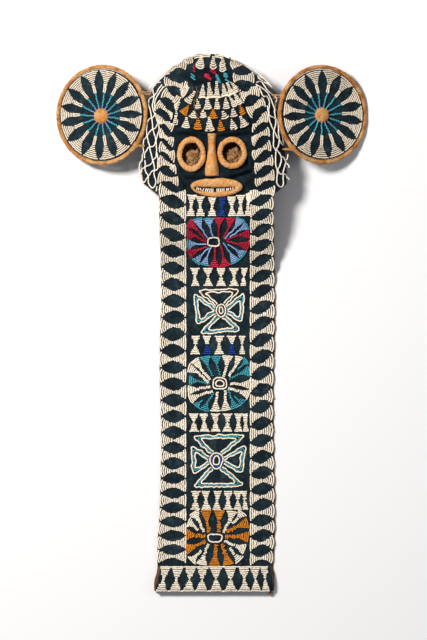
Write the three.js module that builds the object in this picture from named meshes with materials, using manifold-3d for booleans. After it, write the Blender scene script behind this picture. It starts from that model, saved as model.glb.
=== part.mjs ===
// Elephant mask of beaded cloth, lying on its back: hood, face, two round ears and a long beaded trunk panel.
// Millimetres. +X to the right of the face as it is seen, +Y to the crown, +Z up from the floor.
import * as THREE from 'three'
import { mergeVertices } from 'three/addons/utils/BufferGeometryUtils.js'
import Module from 'manifold-3d'

const wasm = await Module()
wasm.setup()

// Whole mask
const CROWN_Y = 502.3
const FOOT_Y = -493
const CLOTH = 2.4
const BACKING = 2
const GAP = 0.3
const BEAD = 2.6
const BEAD_ROOT = 5

// Hood of cloth: its sides, its front's height and the height of its widest line, from hem to crown
const HOOD = [
  { y: 215, left: -126, right: 138, top: 82, wide: 49, low: 0 },
  { y: 284, left: -129, right: 139, top: 97, wide: 53, low: 0 },
  { y: 334, left: -126, right: 133, top: 105, wide: 53, low: 0, lining: false },
  { y: 388, left: -119, right: 124, top: 112, wide: 48, low: 0 },
  { y: 430, left: -112, right: 111, top: 110, wide: 50, low: 0 },
  { y: 450, left: -99, right: 96, top: 107, wide: 50, low: 0 },
  { y: 462, left: -87, right: 83, top: 102, wide: 48, low: 1 },
  { y: 477, left: -70, right: 66, top: 94, wide: 46, low: 6 },
  { y: 493, left: -47, right: 34, top: 76, wide: 43, low: 18 },
  { y: CROWN_Y, left: -26, right: 13, top: 52, wide: 41, low: 33 },
]
const HOOD_SIDES = 16
const FRONT_POWER = 2.6
const BACK_POWER = 4
const BACK_SINK = 6
const VALLEY = { x: -3, y: 462, halfWidth: 36, halfLength: 10, depth: 17 }
const HEM_LEFT = [[-131, 284], [-125, 262], [-94.5, 238]]
const HEM_RIGHT = [[141, 270], [139, 262], [116, 243]]
const CHIN = { x: 10, y: 235, halfWidth: 58, rise: 8 }

// Face, all in padded tan cloth on the hood
const EYES = [
  { name: 'left', x: -36.9, y: 315.2, holeX: 17.4, holeY: 20.4, sideWidth: 9.8, endWidth: 13.2 },
  { name: 'right', x: 37.9, y: 317.8, holeX: 17.9, holeY: 18.6, sideWidth: 10.2, endWidth: 12.2 },
]
const EYE_RING_HEIGHT = 10
const NOSE = { x: 0.8, topY: 353.5, endY: 275.2, topHalf: 7.9, neckHalf: 6.6, endHalf: 12.9, topRise: 10, endRise: 17 }
const MOUTH = { x: 9.3, y: 254.6, halfX: 47.6, halfY: 17.9, slitHalfX: 38, slitHalfY: 4, sag: 4.5, height: 9 }
const TEETH = { count: 9, reach: 0.82, width: 3, height: 5, gum: 0.3, lean: 0.2 }

// Beaded layer over the forehead
const BROW = { left: -67, right: 72, topLeft: -46, topRight: 44, y: 359, rise: 9, topY: 446, clear: 1.5, thickness: 2.6 }
const BROW_ROWS = [
  { y: 374, count: 6, first: -47.4, pitch: 21.8, half: 8.4, height: 20, curve: 5 },
  { y: 390, count: 7, first: -49, pitch: 17.4, half: 7.2, height: 17, curve: 5 },
  { y: 409, count: 5, first: -25.5, pitch: 17.4, half: 7, height: 17, curve: 2 },
  { y: 434, count: 5, first: -16, pitch: 13.9, half: 5.2, height: 24, curve: 0 },
]
const CROWN_ROW = { y: 482, count: 3, first: -21, pitch: 21.8, half: 7.5, height: 17 }

// Beaded borders of the hood's front: where their middle line runs
const HOOD_BORDER = [
  { y: 230, left: -74, right: 93 },
  { y: 290, left: -82, right: 96 },
  { y: 345, left: -83, right: 91 },
  { y: 388, left: -86, right: 84 },
  { y: 430, left: -70, right: 61 },
  { y: 470, left: -58, right: 56 },
]
const HOOD_BORDERS = [
  { side: 'left', from: 258, to: 447, count: 8, half: 17, slope: -0.45 },
  { side: 'right', from: 262, to: 452, count: 8, half: 20, slope: 0.5 },
]
const BEAD_NET = { from: 262, to: 450, rows: 9, strings: 3, thickness: 3, clear: 1.1, start: 0.38 }

// Ears: round beaded discs with padded rims, leaning on the hood with their outer edge on the floor
const EARS = [
  { name: 'left', side: -1, x: -203, y: 389.8, radius: 93.8, tilt: 24, bossX: 0.4, bossY: -2, bossRadius: 14.4 },
  { name: 'right', side: 1, x: 205.4, y: 390.7, radius: 92.5, tilt: 25.5, bossX: -3.2, bossY: -1, bossRadius: 14 },
]
const RIM_RADIUS = 4.5
const EAR_SIDES = 26
const DISC = 4
const PETALS = 15
const PETAL = { from: 0.22, widest: 0.6, to: 0.985, half: 0.085 }

// Trunk panel
const PANEL = { left: -94.5, right: 115, footLeft: -100, wave: 1.5, flatY: 69 }
const SLOPE_STEPS = 6
const BORDER_INNER = { left: -45.5, right: 70 }
const LEFT_DIAMONDS = { count: 25, start: 258.6, length: 700.8, bow: -16.9, swing: 5.2, tilt: -0.1 }
const RIGHT_DIAMONDS = { count: 24, start: 232.1, length: 679, bow: 3, swing: 6.7, tilt: 0.3 }
const BANDS = [
  { top: 243, end: 203, count: 7, first: -38.5, pitch: 17.8 },
  { top: 108, end: 73, count: 5, first: -30.5, pitch: 22.4 },
  { top: -18.5, end: -54, count: 5, first: -30, pitch: 21.8 },
  { top: -163, end: -198, count: 6, first: -32.5, pitch: 19.4 },
  { top: -307, end: -343, count: 6, first: -29.5, pitch: 18.4 },
]
const MEDALLIONS = [
  { x: 11.5, y: 153.5, halfX: 57, halfY: 45, ringX: 11.2, ringY: 8.3, spokes: 18 },
  { x: 15.4, y: -107.6, halfX: 56, halfY: 51, ringX: 14.6, ringY: 12, spokes: 19 },
  { x: 8.5, y: -395, halfX: 58, halfY: 50, ringX: 15.3, ringY: 9.6, spokes: 16 },
]
const CROSSES = [
  { x: 17.8, y: 27.8, halfX: 42, halfY: 38, ringX: 9.4, ringY: 12.8 },
  { x: 10.2, y: -251.6, halfX: 46, halfY: 43, ringX: 13.3, ringY: 15.9 },
]
const CROSS_LINE = 7.5
const FOOT = { crease: -447, top: -450, end: FOOT_Y, count: 9, first: -86, pitch: 23.2, height: 17, flare: 8 }
const FOOT_ROLL = [
  { y: FOOT_Y, height: 0.5 },
  { y: -487, height: 0.88 },
  { y: -470, height: 1 },
  { y: -454, height: 0.7 },
  { y: -447, height: 0 },
]
const KNOB = { x: 110.5, y: -498.2, radius: 4.1 }

const INDIGO = { color: 0x1b2a33, roughness: 0.9, metalness: 0 }
const RAFFIA = { color: 0x8a6238, roughness: 0.95, metalness: 0 }
const TAN = { color: 0xe8a25c, roughness: 0.85, metalness: 0 }
const GLASS = { color: 0xefe3d0, roughness: 0.35, metalness: 0 }

const mask = new THREE.Group()

function clamp01(t) {
  return Math.min(1, Math.max(0, t))
}

function smooth(t) {
  const s = clamp01(t)
  return s * s * (3 - 2 * s)
}

// A value that a table of stations gives at y, on a smooth curve through them
function along(table, y, key) {
  let i = 0
  while (i < table.length - 2 && table[i + 1].y < y) i++
  const [a, b] = [table[i], table[i + 1]]
  const before = table[Math.max(0, i - 1)]
  const after = table[Math.min(table.length - 1, i + 2)]
  const span = b.y - a.y
  const t = clamp01((y - a.y) / span)
  const startSlope = ((b[key] - before[key]) / (b.y - before.y)) * span
  const endSlope = ((after[key] - a[key]) / (after.y - a.y)) * span
  const [t2, t3] = [t * t, t * t * t]
  return (2 * t3 - 3 * t2 + 1) * a[key] + (t3 - 2 * t2 + t) * startSlope
    + (3 * t2 - 2 * t3) * b[key] + (t3 - t2) * endSlope
}

// A closed body from its corners and triangles, with its faces turned out
function body(corners, triangles) {
  let volume = 0
  for (let i = 0; i < triangles.length; i += 3) {
    const [a, b, c] = [0, 1, 2].map((k) => corners[triangles[i + k]])
    volume += a.dot(new THREE.Vector3().crossVectors(b, c))
  }
  const order = volume < 0 ? triangles.slice().reverse() : triangles
  const geometry = new THREE.BufferGeometry()
  geometry.setAttribute('position', new THREE.Float32BufferAttribute(corners.flatMap((p) => p.toArray()), 3))
  geometry.setIndex(order)
  return geometry
}

// A skin over rings of points, looped like a tyre or closed at both ends. The quads of the first few steps
// may be split the other way, so that a bag's inner and outer skins have matching folds.
function loft(rings, looped = false, otherWay = 0) {
  const count = rings[0].length
  const corners = rings.flat()
  const triangles = []
  const steps = looped ? rings.length : rings.length - 1
  for (let i = 0; i < steps; i++) {
    const [a, b] = [i * count, ((i + 1) % rings.length) * count]
    for (let j = 0; j < count; j++) {
      const k = (j + 1) % count
      if (i < otherWay) triangles.push(a + j, a + k, b + j, a + k, b + k, b + j)
      else triangles.push(a + j, a + k, b + k, a + j, b + k, b + j)
    }
  }
  if (!looped) {
    for (const [ring, start, turn] of [[rings[0], 0, 1], [rings.at(-1), (rings.length - 1) * count, -1]]) {
      const middle = ring.reduce((sum, p) => sum.add(p), new THREE.Vector3()).divideScalar(count)
      corners.push(middle)
      for (let j = 0; j < count; j++) {
        const k = (j + 1) % count
        triangles.push(corners.length - 1, start + (turn > 0 ? k : j), start + (turn > 0 ? j : k))
      }
    }
  }
  return body(corners, triangles)
}

// A sheet with thickness: rows and columns in plan, with a height above and below
function slab(columns, rows, plan, low, high) {
  const rings = rows.map((v) => {
    const points = columns.map((u) => plan(u, v))
    const above = points.map(([x, y]) => new THREE.Vector3(x, y, high(x, y)))
    const below = points.map(([x, y]) => new THREE.Vector3(x, y, low(x, y))).reverse()
    return [...above, ...below]
  })
  const count = rings[0].length
  const width = columns.length
  const corners = rings.flat()
  const triangles = []
  for (let i = 0; i < rings.length - 1; i++) {
    for (let j = 0; j < count; j++) {
      const [a, b, k] = [i * count, (i + 1) * count, (j + 1) % count]
      triangles.push(a + j, a + k, b + k, a + j, b + k, b + j)
    }
  }
  for (const [start, turn] of [[0, 1], [(rings.length - 1) * count, -1]]) {
    for (let j = 0; j < width - 1; j++) {
      const quad = [start + j, start + j + 1, start + count - 2 - j, start + count - 1 - j]
      const [a, b, c, d] = turn > 0 ? quad.reverse() : quad
      triangles.push(a, b, c, a, c, d)
    }
  }
  return body(corners, triangles)
}

// A prism over an outline in plan, between two heights that may follow a surface
function prism(outline, low, high) {
  const points = outline.map(([x, y]) => new THREE.Vector2(x, y))
  if (THREE.ShapeUtils.isClockWise(points)) points.reverse()
  const lid = THREE.ShapeUtils.triangulateShape(points, [])
  const count = points.length
  const corners = [low, high].flatMap((height) => points.map((p) => new THREE.Vector3(p.x, p.y, height(p.x, p.y))))
  const triangles = []
  for (const [a, b, c] of lid) {
    triangles.push(a, c, b, a + count, b + count, c + count)
  }
  for (let j = 0; j < count; j++) {
    const k = (j + 1) % count
    triangles.push(j, k, k + count, j, k + count, j + count)
  }
  return body(corners, triangles)
}

function solid(geometry) {
  const plain = geometry.clone()
  plain.deleteAttribute('normal')
  plain.deleteAttribute('uv')
  const merged = mergeVertices(plain, 1e-4)
  return new wasm.Manifold(new wasm.Mesh({
    numProp: 3,
    vertProperties: new Float32Array(merged.attributes.position.array),
    triVerts: new Uint32Array(merged.index.array),
  }))
}

function shape(manifold) {
  const mesh = manifold.getMesh()
  const geometry = new THREE.BufferGeometry()
  geometry.setAttribute('position', new THREE.Float32BufferAttribute(mesh.vertProperties, 3))
  geometry.setIndex(Array.from(mesh.triVerts))
  return geometry
}

function join(base, additions) {
  return shape(additions.reduce((sum, piece) => sum.add(solid(piece)), solid(base)))
}

function cut(base, cutters) {
  return shape(cutters.reduce((rest, piece) => rest.subtract(solid(piece)), solid(base)))
}

function add(name, geometry, material, parent = mask) {
  const mesh = new THREE.Mesh(geometry, new THREE.MeshStandardMaterial(material))
  mesh.name = name
  parent.add(mesh)
  return mesh
}

// Outline of an hourglass of beads between two ends, pinched in its middle
function hourglass(a, b, halfA, halfB, waist, bulge = 0) {
  const [dx, dy] = [b[0] - a[0], b[1] - a[1]]
  const length = Math.hypot(dx, dy)
  const at = (t, across, out = 0) => [
    a[0] + dx * t + (-dy * across + dx * out) / length,
    a[1] + dy * t + (dx * across + dy * out) / length,
  ]
  const end = bulge ? [at(0, 0, -bulge)] : []
  const down = [at(0, -halfA), at(0.5, -waist), at(1, -halfB)]
  const back = [at(1, halfB), at(0.5, waist), at(0, halfA)]
  return [...down, ...back, ...end]
}

function valley(x, y) {
  const [across, lengthways] = [(x - VALLEY.x) / VALLEY.halfWidth, (y - VALLEY.y) / VALLEY.halfLength]
  return VALLEY.depth * Math.exp(-across * across - lengthways * lengthways)
}

// Height of the hood's front cloth
function hoodFront(x, y) {
  const [left, right] = [along(HOOD, y, 'left'), along(HOOD, y, 'right')]
  const [top, wide] = [along(HOOD, y, 'top'), along(HOOD, y, 'wide')]
  const across = Math.min(1, Math.abs(x - (left + right) / 2) / ((right - left) / 2))
  return wide + (top - wide) * (1 - across ** FRONT_POWER) ** (1 / FRONT_POWER) - valley(x, y)
}

// A point of the hood's section at y, at an angle about the section's middle
function hoodPoint(y, angle, inset = 0, placedY = y) {
  const [left, right] = [along(HOOD, y, 'left'), along(HOOD, y, 'right')]
  const [top, wide, low] = ['top', 'wide', 'low'].map((key) => along(HOOD, y, key))
  const [c, s] = [Math.cos(angle), Math.sin(angle)]
  const x = (left + right) / 2 + ((right - left) / 2 - inset) * Math.sign(c) * Math.abs(c) ** (2 / FRONT_POWER)
  if (s >= 0) {
    const z = wide + (top - inset - wide) * s ** (2 / FRONT_POWER) - valley(x, y)
    return new THREE.Vector3(x, placedY, z)
  }
  const z = wide - (wide - low + BACK_SINK) * Math.abs(s) ** (2 / BACK_POWER)
  return new THREE.Vector3(x, placedY, Math.max(low + inset, z + inset))
}

function hoodRing({ y }, inset) {
  const placedY = y - inset * smooth((y - 466) / (CROWN_Y - 466))
  return Array.from({ length: HOOD_SIDES }, (_, i) => hoodPoint(y, (2 * Math.PI * i) / HOOD_SIDES, inset, placedY))
}

// The hood's cloth or its lining: a bag between two insets, open at the hem
function bag(outer, inner, stations = HOOD) {
  const inside = stations.map((station) => hoodRing(station, inner)).reverse()
  const outside = stations.map((station) => hoodRing(station, outer))
  return loft([...inside, ...outside], false, inside.length)
}

function chinLine(x) {
  return CHIN.y + CHIN.rise * clamp01(((x - CHIN.x) / CHIN.halfWidth) ** 2)
}

function panelLeft(y) {
  const toFoot = smooth((y + 330) / -110)
  return PANEL.left + (PANEL.footLeft - PANEL.left) * toFoot + PANEL.wave * Math.sin(y / 47)
}

function panelRight(y) {
  return PANEL.right - 2 * smooth((y + 380) / -70) + PANEL.wave * Math.sin(y / 61 + 1)
}

function chinColumns(fraction) {
  return panelLeft(CHIN.y) + (panelRight(CHIN.y) - panelLeft(CHIN.y)) * fraction
}

const COLUMN_STEPS = [panelLeft(CHIN.y), BORDER_INNER.left, BORDER_INNER.right, panelRight(CHIN.y)].map(
  (x, _, all) => (x - all[0]) / (all[3] - all[0]),
)

// Everything that is cut from the hood's cloth and its lining alike
function hoodCutters() {
  const [under, over] = [() => -50, () => 200]
  const leftCorner = [...HEM_LEFT, [-94.5, 150], [-220, 150], [-220, 284]]
  const rightCorner = [...HEM_RIGHT, [116, 150], [220, 150], [220, 270]]
  const chin = COLUMN_STEPS.map((u) => [chinColumns(u), chinLine(chinColumns(u))])
  const front = [[-220, chin[0][1]], ...chin, [220, chin.at(-1)[1]], [220, 150], [-220, 150]]
  const holes = EYES.map((eye) => {
    const hole = new THREE.CylinderGeometry(1, 1, 90, 20)
    hole.rotateX(Math.PI / 2)
    hole.scale(eye.holeX, eye.holeY, 1)
    hole.translate(eye.x, eye.y, 115)
    return hole
  })
  return [prism(leftCorner, under, over), prism(rightCorner, under, over), prism(front, () => 16, over), ...holes]
}

// Height of a cloth's outer face, read from its facets so that bead patches root in it
function facesOf(geometry, lowest) {
  const cloth = new THREE.Mesh(geometry, new THREE.MeshBasicMaterial())
  const ray = new THREE.Raycaster()
  const down = new THREE.Vector3(0, 0, -1)
  return (x, y) => {
    ray.set(new THREE.Vector3(x, y, 300), down)
    const hits = ray.intersectObject(cloth)
    return hits.length && hits[0].point.z > lowest ? hits[0].point.z : null
  }
}

// Bead patches over outlines in plan, standing on a cloth whose inside is the core. A corner that misses the
// cloth moves inwards.
function beadPatches(cloth, core, outlines, lowest = 0) {
  const height = facesOf(cloth, lowest)
  return outlines.map((outline) => {
    const middle = [0, 1].map((axis) => outline.reduce((sum, point) => sum + point[axis], 0) / outline.length)
    const heights = new Map()
    const corners = outline.map((corner) => {
      let place = corner
      for (let pull = 0; height(...place) === null && pull < 1; pull += 0.08) {
        place = corner.map((value, axis) => value + (middle[axis] - value) * pull)
      }
      heights.set(`${place}`, height(...place))
      return place
    })
    const base = (x, y) => heights.get(`${[x, y]}`)
    return cut(prism(corners, (x, y) => base(x, y) - BEAD_ROOT, (x, y) => base(x, y) + BEAD), [core])
  })
}

// A triangle of bead rows with its point to the crown, as its three corners
function triangle(x, y, half, height, lean = 0) {
  return [[x - half, y - height / 2], [x + half, y - height / 2], [x + lean, y + height / 2]]
}

function hood() {
  const borders = HOOD_BORDERS.flatMap(({ side, from, to, count, half, slope }) => (
    Array.from({ length: count }, (_, i) => {
      const y = from + ((to - from) * i) / (count - 1)
      const x = along(HOOD_BORDER, y, side)
      const [outerX, innerX] = side === 'left' ? [x - half, x + half] : [x + half, x - half]
      const drop = slope * half
      const lift = side === 'left' ? drop : -drop
      return hourglass([outerX, y - lift], [innerX, y + lift], 8.5, 9, 2.6)
    })
  ))
  const crown = Array.from({ length: CROWN_ROW.count }, (_, i) => (
    triangle(CROWN_ROW.first + CROWN_ROW.pitch * i, CROWN_ROW.y, CROWN_ROW.half, CROWN_ROW.height)
  ))
  const cloth = cut(bag(0, CLOTH), hoodCutters())
  const cover = prism(browOutline(1.2), () => 40, () => 200)
  const core = loft(HOOD.map((station) => hoodRing(station, CLOTH * 0.6)))
  const beads = beadPatches(cloth, core, [...borders, ...crown], HOOD[0].wide).map((patch) => cut(patch, [cover]))
  add('hood', join(cloth, beads), INDIGO)
  const lining = bag(CLOTH + GAP, CLOTH + GAP + BACKING, HOOD.filter(({ lining }) => lining !== false))
  add('hood_lining', cut(lining, hoodCutters()), RAFFIA)
}

// A point of the forehead layer in plan, from its left edge to its right and from its lower edge up
function browPlan(u, v, over = 0) {
  const left = BROW.left - over + (BROW.topLeft - BROW.left) * v
  const right = BROW.right + over + (BROW.topRight - BROW.right) * v
  const x = left + (right - left) * u
  const [middle, half] = [(BROW.left + BROW.right) / 2, (BROW.right - BROW.left) / 2]
  const lower = BROW.y - over + BROW.rise * ((x - middle) / half) ** 2
  return [x, lower + (BROW.topY + over - lower) * v]
}

function browOutline(over) {
  const steps = [0, 0.25, 0.5, 0.75, 1]
  const lower = steps.map((u) => browPlan(u, 0, over))
  const upper = steps.map((u) => browPlan(1 - u, 1, over))
  return [...lower, ...upper]
}

function brow() {
  const [middle, half] = [(BROW.left + BROW.right) / 2, (BROW.right - BROW.left) / 2]
  const low = (x, y) => hoodFront(x, y) + BROW.clear
  const high = (x, y) => low(x, y) + BROW.thickness
  const columns = [0, 0.2, 0.4, 0.6, 0.8, 1]
  const rows = [0, 0.5, 0.8, 1]
  const plan = (u, v) => browPlan(u, v)
  const cloth = slab(columns, rows, plan, low, high)
  const core = slab(columns, rows, plan, () => 0, (x, y) => high(x, y) - BROW.thickness * 0.6)
  const triangles = BROW_ROWS.flatMap((row) => Array.from({ length: row.count }, (_, i) => {
    const x = row.first + row.pitch * i
    const y = row.y + row.curve * ((x - middle) / half) ** 2
    return triangle(x, y, row.half, row.height, -x * 0.05)
  }))
  add('brow_band', join(cloth, beadPatches(cloth, core, triangles)), INDIGO)
}

function eyeRing(eye) {
  const rings = Array.from({ length: 18 }, (_, i) => {
    const angle = (2 * Math.PI * i) / 18
    const width = eye.sideWidth + (eye.endWidth - eye.sideWidth) * Math.sin(angle) ** 2
    const [dx, dy] = [Math.cos(angle), Math.sin(angle)]
    const [x, y] = [eye.x + (eye.holeX - 0.6 + width / 2) * dx, eye.y + (eye.holeY - 0.6 + width / 2) * dy]
    return Array.from({ length: 6 }, (_, j) => {
      const turn = (2 * Math.PI * j) / 6
      const out = (Math.cos(turn) * width) / 2
      const base = hoodFront(x + out * dx, y + out * dy) + GAP * 2
      const z = base + (EYE_RING_HEIGHT / 2) * (1 + Math.sin(turn))
      return new THREE.Vector3(x + out * dx, y + out * dy, z)
    })
  })
  add(`eye_ring_${eye.name}`, loft(rings, true), TAN)
}

// A half-round bolster that widens to a flat end
function nose() {
  const steps = 8
  const rings = Array.from({ length: steps + 1 }, (_, i) => {
    const t = i / steps
    const y = NOSE.topY + (NOSE.endY - NOSE.topY) * t
    const flare = (NOSE.topHalf - NOSE.neckHalf) * (1 - smooth(t / 0.22))
    const half = NOSE.neckHalf + flare + (NOSE.endHalf - NOSE.neckHalf) * smooth((t - 0.3) / 0.62)
    const rise = NOSE.topRise + (NOSE.endRise - NOSE.topRise) * smooth(t)
    return Array.from({ length: 9 }, (_, j) => {
      const turn = Math.PI * (j / 8)
      const x = NOSE.x + half * Math.cos(turn)
      return new THREE.Vector3(x, y, hoodFront(x, y) + GAP * 2 + rise * Math.sin(turn))
    })
  })
  add('nose', loft(rings), TAN)
}

function lipLine(angle, halfX, halfY, sag, power = 1) {
  const [x, y] = [Math.cos(angle) * halfX, Math.sign(Math.sin(angle)) * Math.abs(Math.sin(angle)) ** power * halfY]
  return [MOUTH.x + x, MOUTH.y + y - sag * (1 - (x / MOUTH.halfX) ** 2) + MOUTH.sag * 0.5]
}

function mouth() {
  const rings = Array.from({ length: 20 }, (_, i) => {
    const angle = (2 * Math.PI * i) / 20
    const [ix, iy] = lipLine(angle, MOUTH.slitHalfX, MOUTH.slitHalfY, MOUTH.sag, 0.5)
    const [ox, oy] = lipLine(angle, MOUTH.halfX, MOUTH.halfY, MOUTH.sag * 0.5)
    return Array.from({ length: 6 }, (_, j) => {
      const turn = (2 * Math.PI * j) / 6
      const t = 0.5 + 0.5 * Math.cos(turn)
      const [x, y] = [ix + (ox - ix) * t, iy + (oy - iy) * t]
      const z = hoodFront(x, y) + GAP * 2 + (MOUTH.height / 2) * (1 + Math.sin(turn))
      return new THREE.Vector3(x, y, z)
    })
  })
  add('mouth', loft(rings, true), TAN)
  const above = (extra) => (x, y) => hoodFront(x, y) + extra
  const first = MOUTH.x - MOUTH.slitHalfX * TEETH.reach
  const pitch = (MOUTH.slitHalfX * TEETH.reach * 2) / (TEETH.count - 1)
  const middle = (x) => lipLine(Math.acos((x - MOUTH.x) / MOUTH.slitHalfX), MOUTH.slitHalfX, 0, MOUTH.sag)[1]
  const edge = (across) => Array.from({ length: TEETH.count }, (_, i) => {
    const x = first + pitch * i
    const lean = across * TEETH.lean
    const [tip, gum] = [middle(x) + across, middle(x) + across * TEETH.gum]
    const [half, next] = [TEETH.width / 2, pitch - TEETH.width / 2]
    const tooth = [[x - half + lean, tip], [x + half + lean, tip]]
    return i < TEETH.count - 1 ? [...tooth, [x + half + lean / 4, gum], [x + next + lean / 4, gum]] : tooth
  }).flat()
  const comb = [...edge(-TEETH.height / 2), ...edge(TEETH.height / 2).reverse()]
  add('teeth', prism(comb, above(GAP * 2), above(4)), GLASS)
}

// Strings of beads that swing to and fro and meet, so that they form a net over the hood's side
function beadNet(side) {
  const { from, to, rows, strings, thickness, clear, start } = BEAD_NET
  const sign = side === 'left' ? -1 : 1
  const border = HOOD_BORDERS.find((entry) => entry.side === side)
  const at = (row, lane) => {
    const y = to + ((from - to) * row) / rows
    const [left, right] = [along(HOOD, y, 'left'), along(HOOD, y, 'right')]
    const edgeX = along(HOOD_BORDER, y, side) + sign * (border.half + 7)
    const across = Math.min(0.97, Math.abs(edgeX - (left + right) / 2) / ((right - left) / 2))
    const inner = Math.acos(across ** (FRONT_POWER / 2))
    const angle = start + (inner - start) * lane
    const turned = (a) => (sign > 0 ? a : Math.PI - a)
    const point = hoodPoint(y, turned(angle))
    const lengthways = hoodPoint(y + 1, turned(angle)).sub(point)
    const around = hoodPoint(y, turned(angle + 0.02)).sub(point)
    const normal = new THREE.Vector3().crossVectors(around, lengthways).normalize()
    if (normal.x * sign < 0) normal.negate()
    return { point: point.addScaledVector(normal, thickness / 2 + clear), normal }
  }
  const tubes = Array.from({ length: strings }, (_, s) => {
    const places = Array.from({ length: rows + 1 }, (_, i) => at(i, (s + ((i + s) % 2)) / strings))
    const rings = places.map(({ point, normal }, i) => {
      const next = places[Math.min(rows, i + 1)].point
      const last = places[Math.max(0, i - 1)].point
      const across = new THREE.Vector3().crossVectors(next.clone().sub(last), normal).normalize()
      return [[1, -0.6], [0, 1], [-1, -0.6]].map(([a, n]) => (
        point.clone().addScaledVector(across, (a * thickness) / 2).addScaledVector(normal, (n * thickness) / 2)
      ))
    })
    return loft(rings)
  })
  add(`net_${side}`, join(tubes[0], tubes.slice(1)), GLASS)
}

// Rings of points around a round thing: a profile of [radius, height] pairs turned about Z
function turned(profile, sides) {
  const path = profile.map(([radius, height]) => new THREE.Vector2(radius, height))
  const lathe = new THREE.LatheGeometry(path, sides)
  lathe.rotateX(Math.PI / 2)
  return lathe
}

function tyre(centreRadius, tubeRadius, around, sides) {
  return loft(Array.from({ length: around }, (_, i) => {
    const angle = (2 * Math.PI * i) / around
    return Array.from({ length: sides }, (_, j) => {
      const turn = (2 * Math.PI * j) / sides
      const radius = centreRadius + tubeRadius * Math.cos(turn)
      return new THREE.Vector3(radius * Math.cos(angle), radius * Math.sin(angle), tubeRadius * Math.sin(turn))
    })
  }), true)
}

function ear(spec) {
  const centreRadius = spec.radius - RIM_RADIUS
  const tilt = THREE.MathUtils.degToRad(spec.tilt)
  const lean = new THREE.Group()
  lean.position.set(spec.x, spec.y, centreRadius * Math.sin(tilt) + RIM_RADIUS)
  lean.rotation.y = spec.side * tilt
  mask.add(lean)

  const discRadius = centreRadius - RIM_RADIUS - GAP
  const circle = (radius) => Array.from({ length: EAR_SIDES }, (_, i) => {
    const angle = (2 * Math.PI * i) / EAR_SIDES
    return [radius * Math.cos(angle), radius * Math.sin(angle)]
  })
  const disc = prism(circle(discRadius), () => -DISC / 2, () => DISC / 2 + BEAD)
  const petals = Array.from({ length: PETALS }, (_, i) => {
    const angle = (2 * Math.PI * (i + 0.3)) / PETALS
    const at = (along, across) => [
      discRadius * (along * Math.cos(angle) - across * Math.sin(angle)),
      discRadius * (along * Math.sin(angle) + across * Math.cos(angle)),
    ]
    const { from, widest, to, half } = PETAL
    return prism([at(from, 0), at(widest, half), at(to, 0), at(widest, -half)], () => DISC / 2, () => DISC + BEAD + 5)
  })
  add(`ear_${spec.name}`, cut(disc, petals), INDIGO, lean)
  add(`ear_rim_${spec.name}`, tyre(centreRadius, RIM_RADIUS, EAR_SIDES, 5), TAN, lean)

  const base = DISC / 2 + BEAD + GAP
  const dome = [[0, 0], [0.9, 0], [1, 0.3], [0.7, 0.8], [0, 1]]
  const boss = add(
    `ear_boss_${spec.name}`,
    turned(dome.map(([r, h]) => [r * spec.bossRadius, h * 7]), 12),
    TAN,
    lean,
  )
  boss.position.set(spec.bossX, spec.bossY, base)
}

function panelTop(x, y) {
  const flat = BACKING + GAP + CLOTH
  const rise = smooth((y - PANEL.flatY) / (CHIN.y - PANEL.flatY))
  const chin = hoodFront(x, Math.max(CHIN.y, chinLine(x))) - flat
  return flat + rise * chin + FOOT.height * along(FOOT_ROLL, y, 'height')
}

function panelPlan(over) {
  return (u, y) => {
    const flare = FOOT.flare * smooth((FOOT.crease - y) / 34)
    const left = panelLeft(y) - flare * 0.9 - over.left
    const right = panelRight(y) + flare * 0.4 + over.right
    const x = left + (right - left) * u
    return y >= CHIN.y ? [x, chinLine(x) - GAP * 2] : [x, y]
  }
}

function diamondY(line, index) {
  const t = index / (line.count - 1)
  return line.start - line.length * t + line.bow * Math.sin(Math.PI * t) + line.swing * Math.sin(2 * Math.PI * t)
}

// The bead hourglasses that stand between the dark diamonds of a border
function borderPatches(line, outerAt, innerX) {
  return Array.from({ length: line.count - 1 }, (_, i) => {
    const [above, below] = [diamondY(line, i), diamondY(line, i + 1)]
    const y = (above + below) / 2
    if (above > 226) return null
    const side = Math.sign(outerAt(y))
    const turn = line.tilt * smooth((y + 250) / 400)
    const outer = [outerAt(y) - side * 3, y + turn * 22 * side]
    const inner = [innerX, y - turn * 22 * side]
    const half = (above - below) / 2
    return hourglass(outer, inner, half - 1.5, half - 2, 3.2)
  }).filter(Boolean)
}

function medallion({ x, y, halfX, halfY, ringX, ringY, spokes }) {
  const rays = Array.from({ length: spokes }, (_, i) => {
    const angle = (2 * Math.PI * (i + 0.5)) / spokes
    const [c, s] = [Math.cos(angle), Math.sin(angle)]
    const reach = (1 / ((Math.abs(c) / halfX) ** 5 + (Math.abs(s) / halfY) ** 5)) ** (1 / 5)
    const start = 1 / Math.hypot(c / (ringX + 3), s / (ringY + 3))
    const at = (distance, across) => [x + c * distance - s * across, y + s * distance + c * across]
    return [at(start, 0), at(reach - 1, -7.4), at(reach - 1, 7.4)]
  })
  return [...rays, oval(x, y, ringX, ringY)]
}

function oval(x, y, halfX, halfY) {
  return Array.from({ length: 8 }, (_, i) => {
    const angle = ((i + 0.5) * Math.PI) / 4
    return [x + halfX * Math.cos(angle), y + halfY * Math.sin(angle)]
  })
}

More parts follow.
